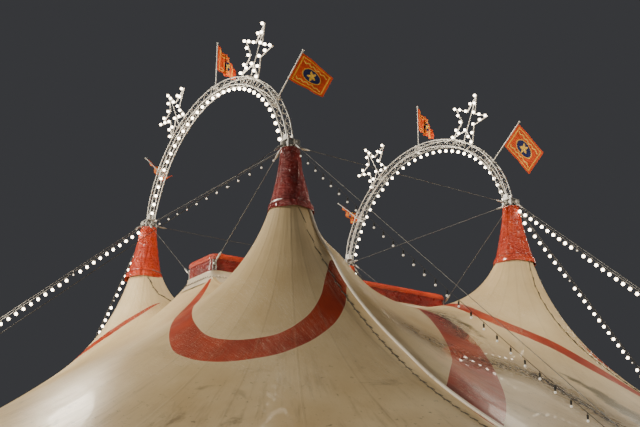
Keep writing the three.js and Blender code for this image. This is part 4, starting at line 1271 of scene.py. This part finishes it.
def fly_flags():
    """Three flags on each arch: the east one flies, the others hang in folds."""
    rows, columns = 22, 46
    top = ARCH_WIDTH / 2 + FLAG_POLE_REACH - FLAG_TOP_GAP
    for name, side in SIDES.items():
        for place, angle in FLAG_ANGLES.items():
            turn = math.radians(angle)
            normal = arch_normal(turn)
            hem = FLAG_WIND.cross(normal).normalized()
            lift = normal * LIFTED_FLAGS.get((name, place), 0.0)
            grid, cut = np.zeros((rows, columns, 3)), np.zeros((rows, columns, 2))
            for r, down in enumerate(np.arange(rows) / (rows - 1)):
                pole = arch_point(turn, top - down * FLAG_HOIST, 0, side)
                for c, run in enumerate(np.arange(columns) / (columns - 1) * FLAG_FLY):
                    if place == "east":
                        grid[r, c] = pole + flown_shift(run, down, angle, hem, lift)
                    else:
                        grid[r, c] = pole + limp_shift(run, down, angle, hem)
                    cut[r, c] = (run, (1 - down) * FLAG_HOIST)
            flag = cloth(f"bunting_{name}_{place}", grid, cut, (0, side * 30, 12))
            thickened(flag, THIN_CLOTH)
            finished(flag, FLAG_CLOTH, [f"flag_{name}_{place}"])
            forward, north = normal.cross(Vector((0, 1, 0))), Vector((0, 1, 0))
            ties = []
            for down in (0.01, 0.5, 0.99):
                at = arch_point(turn, top - down * FLAG_HOIST, 0, side)
                ties.append([
                    at + (forward * math.cos(a) + north * math.sin(a)) * 0.026 + FLAG_WIND * 0.004
                    for a in np.linspace(0, math.tau, 12, endpoint=False)
                ])
            finished(pipes(f"flag_ties_{name}_{place}", ties, 0.005, 6, closed=True), PALE_ROPE)


# Cupola


def rounded_ring(half_x, half_y, corner, count):
    """Points round a rectangle with rounded corners, how far along it each lies, and its length."""
    points = []
    for index, (cx, cy) in enumerate(((1, -1), (1, 1), (-1, 1), (-1, -1))):
        for a in np.radians(np.linspace(-90 + 90 * index, 90 * index, 9)):
            x = cx * (half_x - corner) + corner * math.cos(a)
            points.append((x, cy * (half_y - corner) + corner * math.sin(a)))
    points = np.array(points + [points[0]])
    run = np.concatenate([[0], np.cumsum(np.hypot(*np.diff(points, axis=0).T))])
    at = np.linspace(0, run[-1], count, endpoint=False)
    return np.stack([np.interp(at, run, points[:, 0]), np.interp(at, run, points[:, 1])], 1), at, run[-1]


def rings_round(half_x, half_y, rows):
    """Levels of a sheet round the cupola, from rows of outset, added corner radius, height and ripple."""
    return [
        (half_x + outset, half_y + outset, CUPOLA_CORNER + corner, z, wave)
        for outset, corner, z, wave in rows
    ]


def sheet_round(name, levels, finish, node, pleat):
    """A closed sheet through rounded rings, rippled along them."""
    count = 400
    grid, cut = np.zeros((len(levels), count, 3)), np.zeros((len(levels), count + 1, 2))
    for r, (half_x, half_y, corner, z, wave) in enumerate(levels):
        ring, at, whole = rounded_ring(half_x, half_y, corner, count)
        out = ring / np.maximum(np.linalg.norm(ring, axis=1), 1e-6)[:, None]
        ripple = np.sin(at * math.tau / 0.47 + 1.3 * np.sin(at * 1.7)) + 0.5 * np.sin(at * 7.3 + r * 0.3)
        grid[r, :, :2] = ring + out * (pleat * wave * ripple)[:, None]
        grid[r, :, 2] = z
        cut[r, :count] = np.stack([at, np.full(count, z)], 1)
        cut[r, count] = (whole, z)
    piece = cloth(name, grid, cut, (0, 0, 9.6), looped=True)
    thickened(piece, COVER_THICKNESS)
    finished(piece, finish, [node])


def raise_cupola():
    """The neck's laced collar, the wall round the vent, dark red as painted shade, and its low swelling
    cover.
    """
    neck = smooth_line(rings_round(NECK_X, NECK_Y, [
        (0.16, 0.16, NECK_HEIGHT - 0.16, 0.0),
        (0.05, 0.08, NECK_HEIGHT + 0.02, 0.4),
        (0.0, 0.04, NECK_HEIGHT + 0.1, 1.0),
        (-0.03, 0.0, CUPOLA_FOOT - 0.05, 1.0),
        (-0.03, 0.0, CUPOLA_FOOT, 0.5),
    ]), 4)
    sheet_round(
        "neck_collar", neck, PLAIN_SAIL_CLOTH, "cupola_collar", 0.004,
    )
    wall = smooth_line(rings_round(CUPOLA_X, CUPOLA_Y, [
        (0.02, 0.0, CUPOLA_FOOT - 0.03, 0.2),
        (0.0, 0.0, CUPOLA_FOOT + 0.04, 0.6),
        (0.012, 0.0, CUPOLA_FOOT + 0.22, 1.4),
        (0.0, 0.0, CUPOLA_EAVE - 0.01, 0.5),
    ]), 5)
    # The wall takes the dark red cover, which is painted shade: the darkness stands in for the shade the
    # near sail casts on cloth as red as the roof.
    sheet_round("cupola_curtain", wall, DARK_RED, "cupola_wall", 0.005)
    edge_x, edge_y, shoulder = CUPOLA_X + 0.03, CUPOLA_Y + 0.03, CUPOLA_EAVE + 0.12
    roof = rings_round(edge_x, edge_y, [
        (-0.012, 0.0, CUPOLA_EAVE - 0.05, 0.5),
        (0.004, 0.0, CUPOLA_EAVE, 0.8),
        (0.0, 0.0, CUPOLA_EAVE + 0.06, 0.6),
        (-0.03, 0.0, shoulder, 0.3),
    ])
    for share in np.linspace(0.1, 1, 14):
        x, y = edge_x - 0.03 - share * (edge_x - 0.08), edge_y - 0.03 - share * 0.75
        swell = 0.02 * math.sin(math.pi * share ** 0.7)
        z = shoulder + share * (CUPOLA_RIDGE - shoulder) + swell
        roof.append((x, y, CUPOLA_CORNER * (1 - share) + 0.045 * share, z, 0.0))
    roof.append((0.012, edge_y - 0.8, 0.011, CUPOLA_RIDGE + 0.002, 0.0))
    sheet_round(
        "cupola_cover", roof, ROOF_RED, "cupola_roof", 0.006,
    )


def trim_cupola():
    """The lacing of the neck, the battens and lugs on the cupola and the frame inside it."""
    ring, _, _ = rounded_ring(NECK_X + 0.06, NECK_Y + 0.06, CUPOLA_CORNER + 0.1, 460)
    zigzag = [(x, y, NECK_HEIGHT + (0.06 if index % 2 else -0.02)) for index, (x, y) in enumerate(ring)]
    finished(pipes("neck_lacing", [zigzag], 0.007, 6, closed=True), DULL_ROPE)
    rails, lugs = [], []
    for sx, sy in QUARTERS.values():
        out = Vector((sx, sy, 0)).normalized()
        along = Vector((-out.y, out.x, 0)) * 0.05
        corner = Vector((sx * (CUPOLA_X - CORNER_CUT), sy * (CUPOLA_Y - CORNER_CUT), 0)) + out * 0.02
        for foot in (corner - along, corner + along):
            rails.append([foot + up(CUPOLA_FOOT + 0.02), foot + up(CUPOLA_EAVE - 0.06)])
        for z in np.linspace(CUPOLA_FOOT + 0.05, CUPOLA_EAVE - 0.09, 5):
            rails.append([corner - along + up(z), corner + along + up(z)])
        lugs.append(turned("boss", BOSS_PROFILE, corner + up(STAY_FOOT), 16, out))
    finished(joined("cupola_rails", [pipes("rails", rails, 0.013, 8), *lugs]), ZINC)
    inset = 0.035
    ring, _, _ = rounded_ring(CUPOLA_X - inset, CUPOLA_Y - inset, CUPOLA_CORNER - 0.04, 120)
    levels = (CUPOLA_FOOT + 0.02, CUPOLA_EAVE - 0.02)
    hoops = pipes("hoops", [[(x, y, z) for x, y in ring] for z in levels], 0.02, 8, closed=True)
    studs = []
    for y in np.linspace(-CUPOLA_Y + 0.6, CUPOLA_Y - 0.6, 8):
        for x in (inset - CUPOLA_X, CUPOLA_X - inset):
            ridge = (0, max(-3.9, min(3.9, y)), CUPOLA_RIDGE - 0.05)
            studs.append([(x, y, CUPOLA_FOOT), (x, y, CUPOLA_EAVE - 0.02), ridge])
    finished(joined("cupola_frame", [hoops, pipes("studs", studs, 0.016, 6)]), ZINC)


# Cables and lamp strings


def cable_between(start, end):
    """A taut wire rope."""
    return coated(pipes("cable", [[start, end]], WIRE_RADIUS, 8), WIRE)


def screws_on(start, end, clear):
    """A rigging screw near each end of a cable; clear is how far the first lies from the start."""
    direction = (end - start).normalized()
    places = (start + direction * clear, end - direction * 0.45)
    return [coated(turned("screw", SCREW_PROFILE, at, 10, direction), ZINC) for at in places]


def string_ties():
    """Cables between the heads, the stays to the cupola, and the unlit lamps on the south tie."""
    off_head = HEAD_HALF + 0.001
    half_x, half_y = MAST_X - off_head, MAST_Y - off_head
    runs = {}
    for name, side in SIDES.items():
        runs[f"tie_{name}"] = [Vector((x, side * MAST_Y, BAND_HEIGHT)) for x in (-half_x, half_x)]
    for name, side in (("west", -1), ("east", 1)):
        runs[f"tie_{name}"] = [Vector((side * MAST_X, y, BAND_HEIGHT)) for y in (-half_y, half_y)]
    for name, (sx, sy) in QUARTERS.items():
        foot = (sx * (CUPOLA_X - CORNER_CUT + 0.03), sy * (CUPOLA_Y - CORNER_CUT + 0.02), STAY_FOOT)
        runs[f"cupola_stay_{name}"] = [Vector((sx * half_x, sy * STAY_HEAD_Y, BAND_HEIGHT)), Vector(foot)]
    for node, (start, end) in runs.items():
        pieces = [cable_between(start, end), *screws_on(start, end, 0.1)]
        finished(joined(f"wire_{node}", pieces), None, [node])
    start, end = (
        Vector((x, -MAST_Y, BAND_HEIGHT - 0.03))
        for x in (HEAD_HALF - MAST_X, MAST_X - HEAD_HALF)
    )
    hang_lamps("south_tie", start, end, 0.62, SMALL_LAMP, 0.05, sag=0.04)


def hang_lamps(name, start, end, spacing, lamp, drop, small_every=0, sag=0.0):
    """A lamp cord along a cable: the cord, a short lead to every lamp, and the lamps."""
    count = int((end - start).length / spacing)

    def hung(share):
        return start.lerp(end, share) - up(sag * 4 * share * (1 - share))

    leads, lamps, small = [], [], []
    for index in range(count + 1):
        at = hung(index / count)
        below = at - up(drop)
        leads.append([at, below])
        is_small = small_every and index % small_every == small_every - 2
        (small if is_small else lamps).append(aimed(below, (0, 0, -1)))
    cord = pipes(f"{name}_cord", [[hung(share) for share in np.linspace(0, 1, 60)], *leads], 0.006, 6)
    finished(cord, RUBBER)
    finished(repeated(f"{name}_lamps", lamp, lamps), None)
    if small:
        finished(repeated(f"{name}_small_lamps", PENDANT, small), None)


def second_wire(start, foot, below):
    """The thinner wire clipped under a guy, which carries its lamps."""
    direction, length = (foot - start).normalized(), (foot - start).length
    low = below * 0.06
    line = [
        start + below * 0.02, start + direction * 0.6 + low,
        foot - direction * 3.0 + low, foot - direction * 2.4,
    ]
    clips = []
    for along in np.arange(1.0, length - 3.5, 2.2):
        at = start + direction * along
        clips.append([at, at + low])
    second = coated(pipes("second", [line], 0.0065, 6), WIRE)
    return [second, coated(pipes("clips", clips, THICK_LINE, 6), ZINC)]


def stretch_guys():
    """Two guys from every mast head, each to a stake; all but the southeast ones carry lit lamps."""
    for name, (sx, sy) in QUARTERS.items():
        lit = name != "southeast"
        mast = Vector((sx * MAST_X, sy * MAST_Y, 0))
        for end, (ox, oy) in (("side", (sx, 0)), ("end", (0, sy))):
            outward = Vector((ox, oy, 0))
            start = mast + outward * (HEAD_HALF + 0.001) + up(BAND_HEIGHT)
            foot = mast + outward * GUY_RUN + up(GUY_GROUND)
            direction, length = (foot - start).normalized(), (foot - start).length
            below = direction.cross(Vector((-oy, ox, 0))).normalized()
            below = below if below.z < 0 else -below
            pieces = [cable_between(start, foot)]
            if lit:
                pieces += second_wire(start, foot, below)
            pieces += screws_on(start, foot, 0.05)
            low, high = (foot.x - 0.08, foot.y - 0.08, 0.0), (foot.x + 0.08, foot.y + 0.08, 0.022)
            pieces.append(coated(block("plate", low, high, 0.004), STAKE_STEEL))
            pieces.append(coated(turned("stake", GUY_STAKE_PROFILE, (foot.x, foot.y, 0.0), 14), STAKE_STEEL))
            finished(joined(f"guy_wire_{name}_{end}", pieces), None, [f"guy_{name}_{end}"])
            first, last = start + below * 0.07, start + direction * 0.9 * length + below * 0.07
            if lit:
                hang_lamps(f"guy_{name}_{end}", first, last, 0.29, LAMP, 0.015, small_every=13)
            elif end == "side":
                first -= below * 0.04
                hang_lamps(f"guy_{name}_{end}", first, last, 0.46, PEG_LAMP, 0.04, sag=0.22)


# Side walls


def wall_spans():
    """Where each curtain starts and ends round the tent, clear of the doorway."""
    quarter = math.pi / 2
    return {
        "southeast": (-quarter + DOOR_TURN, 0.0), "northeast": (0.0, quarter),
        "northwest": (quarter, 2 * quarter), "southwest": (2 * quarter, 3 * quarter - DOOR_TURN),
    }


def hang_curtain(name, start, end):
    """One curtain, straight between the poles and folded along its foot."""
    columns, rows = 330, 16
    angle = np.linspace(start, end, columns)
    height = np.linspace(0.004, WALL_TOP, rows)
    along = (angle - start) / (end - start) * POLES_PER_WALL
    step = (end - start) / POLES_PER_WALL
    chord = math.cos(step / 2) / np.cos((along % 1 - 0.5) * step)
    fold = np.sin(along * math.tau * 5) * (0.5 + 0.5 * np.sin(along * 4.1 + 1.0) ** 2)
    depth = np.interp(height, [0, 0.25, 2.4, WALL_TOP], [0.03, 0.028, 0.016, 0.004])
    radius = (WALL_RADIUS - 0.016) * chord[None, :] - 0.012 + depth[:, None] * fold[None, :] * 0.5
    radius = np.minimum(radius, WALL_RADIUS + 0.004)
    z = np.repeat(height[:, None], columns, 1)
    grid = np.stack([radius * np.cos(angle), radius * np.sin(angle), z], 2)
    cut = np.stack(np.broadcast_arrays(along[None, :], height[:, None]), 2)
    curtain = cloth(f"curtain_{name}", grid, cut, (0, 0, 1.5))
    flat = ((end - start) * TENT_RADIUS * 1.04, WALL_TOP)
    area = min(area_of(curtain), flat[0] * flat[1])
    thickened(curtain, THIN_CLOTH)
    finished(curtain, CURTAIN_CLOTH, [f"side_wall_{name}"])


def rig_side(name, start, end):
    """The side poles of a quarter, their loops at the eave, guy ropes and stakes."""
    poles, ropes, stakes, loops = [], [], [], []
    last = POLES_PER_WALL + (1 if name == "southwest" else 0)
    for pole in range(last):
        turn = start + (end - start) / POLES_PER_WALL * pole
        out = Vector((math.cos(turn), math.sin(turn), 0))
        poles.append([out * POLE_CIRCLE, out * POLE_CIRCLE + up(EAVE_HEIGHT - 0.05)])
        ropes.append([out * reach + up(height) for reach, height in SIDE_ROPE])
        loop = ((POLE_CIRCLE + 0.01, EAVE_HEIGHT - 0.08), (TENT_RADIUS + 0.005, EAVE_HEIGHT - 0.015))
        loops.append([out * reach + up(height) for reach, height in loop])
        lean = Matrix.Rotation(turn, 4, "Z") @ Matrix.Rotation(math.radians(14), 4, "Y")
        stakes.append(Matrix.Translation(out * STAKE_CIRCLE) @ lean)
    tubes = coated(pipes("tubes", poles, 0.03, 10), ZINC)
    lines = coated(pipes("lines", ropes + loops, THICK_LINE, 6), PALE_ROPE)
    pattern = turned("stake", SIDE_STAKE_PROFILE, (0, 0, 0), 10)
    pegs = coated(repeated("pegs", pattern, stakes), STAKE_STEEL)
    put_away(pattern)
    finished(joined(f"side_rigging_{name}", [tubes, lines, pegs]), None)


def hang_walls():
    """Curtains laced to the eave between the side poles, the doorway, and the rope along the eave."""
    for name, (start, end) in wall_spans().items():
        hang_curtain(name, start, end)
        rig_side(name, start, end)
    hang_doorway()
    reach, height = TENT_RADIUS + 0.002, EAVE_HEIGHT - 0.018
    eave = [
        (reach * math.cos(a), reach * math.sin(a), height)
        for a in np.linspace(0, math.tau, 240, endpoint=False)
    ]
    finished(pipes("eave_rope", [eave], 0.016, 8, closed=True), PALE_ROPE)


def hang_doorway():
    """The short curtain over the doorway, and the doorway's posts and rail."""
    columns, rows = 60, 8
    angle = np.linspace(-math.pi / 2 - DOOR_TURN, -math.pi / 2 + DOOR_TURN, columns)
    height = np.linspace(DOOR_HEIGHT, WALL_TOP, rows)[:, None]
    share = np.linspace(0, 1, columns)
    chord = math.cos(DOOR_TURN) / np.cos((share - 0.5) * 2 * DOOR_TURN)
    scallop = 0.05 * np.abs(np.sin(share * math.pi * 6))
    z = height + (1 - (height - DOOR_HEIGHT) / (WALL_TOP - DOOR_HEIGHT)) * scallop[None, :]
    ripple = 0.006 * np.sin(share * 70)[None, :] * np.ones((rows, 1))
    radius = (WALL_RADIUS - 0.015) * chord[None, :] + ripple
    grid = np.stack([radius * np.cos(angle), radius * np.sin(angle), z], 2)
    cut = np.stack(np.broadcast_arrays(share[None, :] * 2, z), 2)
    valance = cloth("doorway_valance", grid, cut, (0, 0, 1.5))
    thickened(valance, THIN_CLOTH)
    finished(valance, CURTAIN_CLOTH, ["doorway_header"])
    post, y = DOOR_WIDTH / 2 + 0.02, -WALL_RADIUS * math.cos(DOOR_TURN) + 0.06
    bars = [[(x, y, 0.0), (x, y, WALL_TOP)] for x in (-post, post)]
    bars.append([(-post, y, DOOR_HEIGHT + 0.04), (post, y, DOOR_HEIGHT + 0.04)])
    finished(pipes("doorway_frame", bars, 0.026, 10), ZINC)


def coat_bare_nodes():
    """Zinc on the nodes that still show, which are the masts."""
    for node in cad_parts.values():
        if not node.hide_render:
            if not node.material_slots:
                node.data.materials.append(ZINC)
            for material_slot in node.material_slots:
                material_slot.material = ZINC


place_camera()
light_studio()
lay_floor()
hang_sails()
lace_seams()
dress_caps()
brace_masts()
build_arches()
light_arches()
raise_stars()
fly_flags()
raise_cupola()
trim_cupola()
string_ties()
stretch_guys()
hang_walls()
put_away(LAMP, STAR_LAMP, SMALL_LAMP, PEG_LAMP, PENDANT)
coat_bare_nodes()
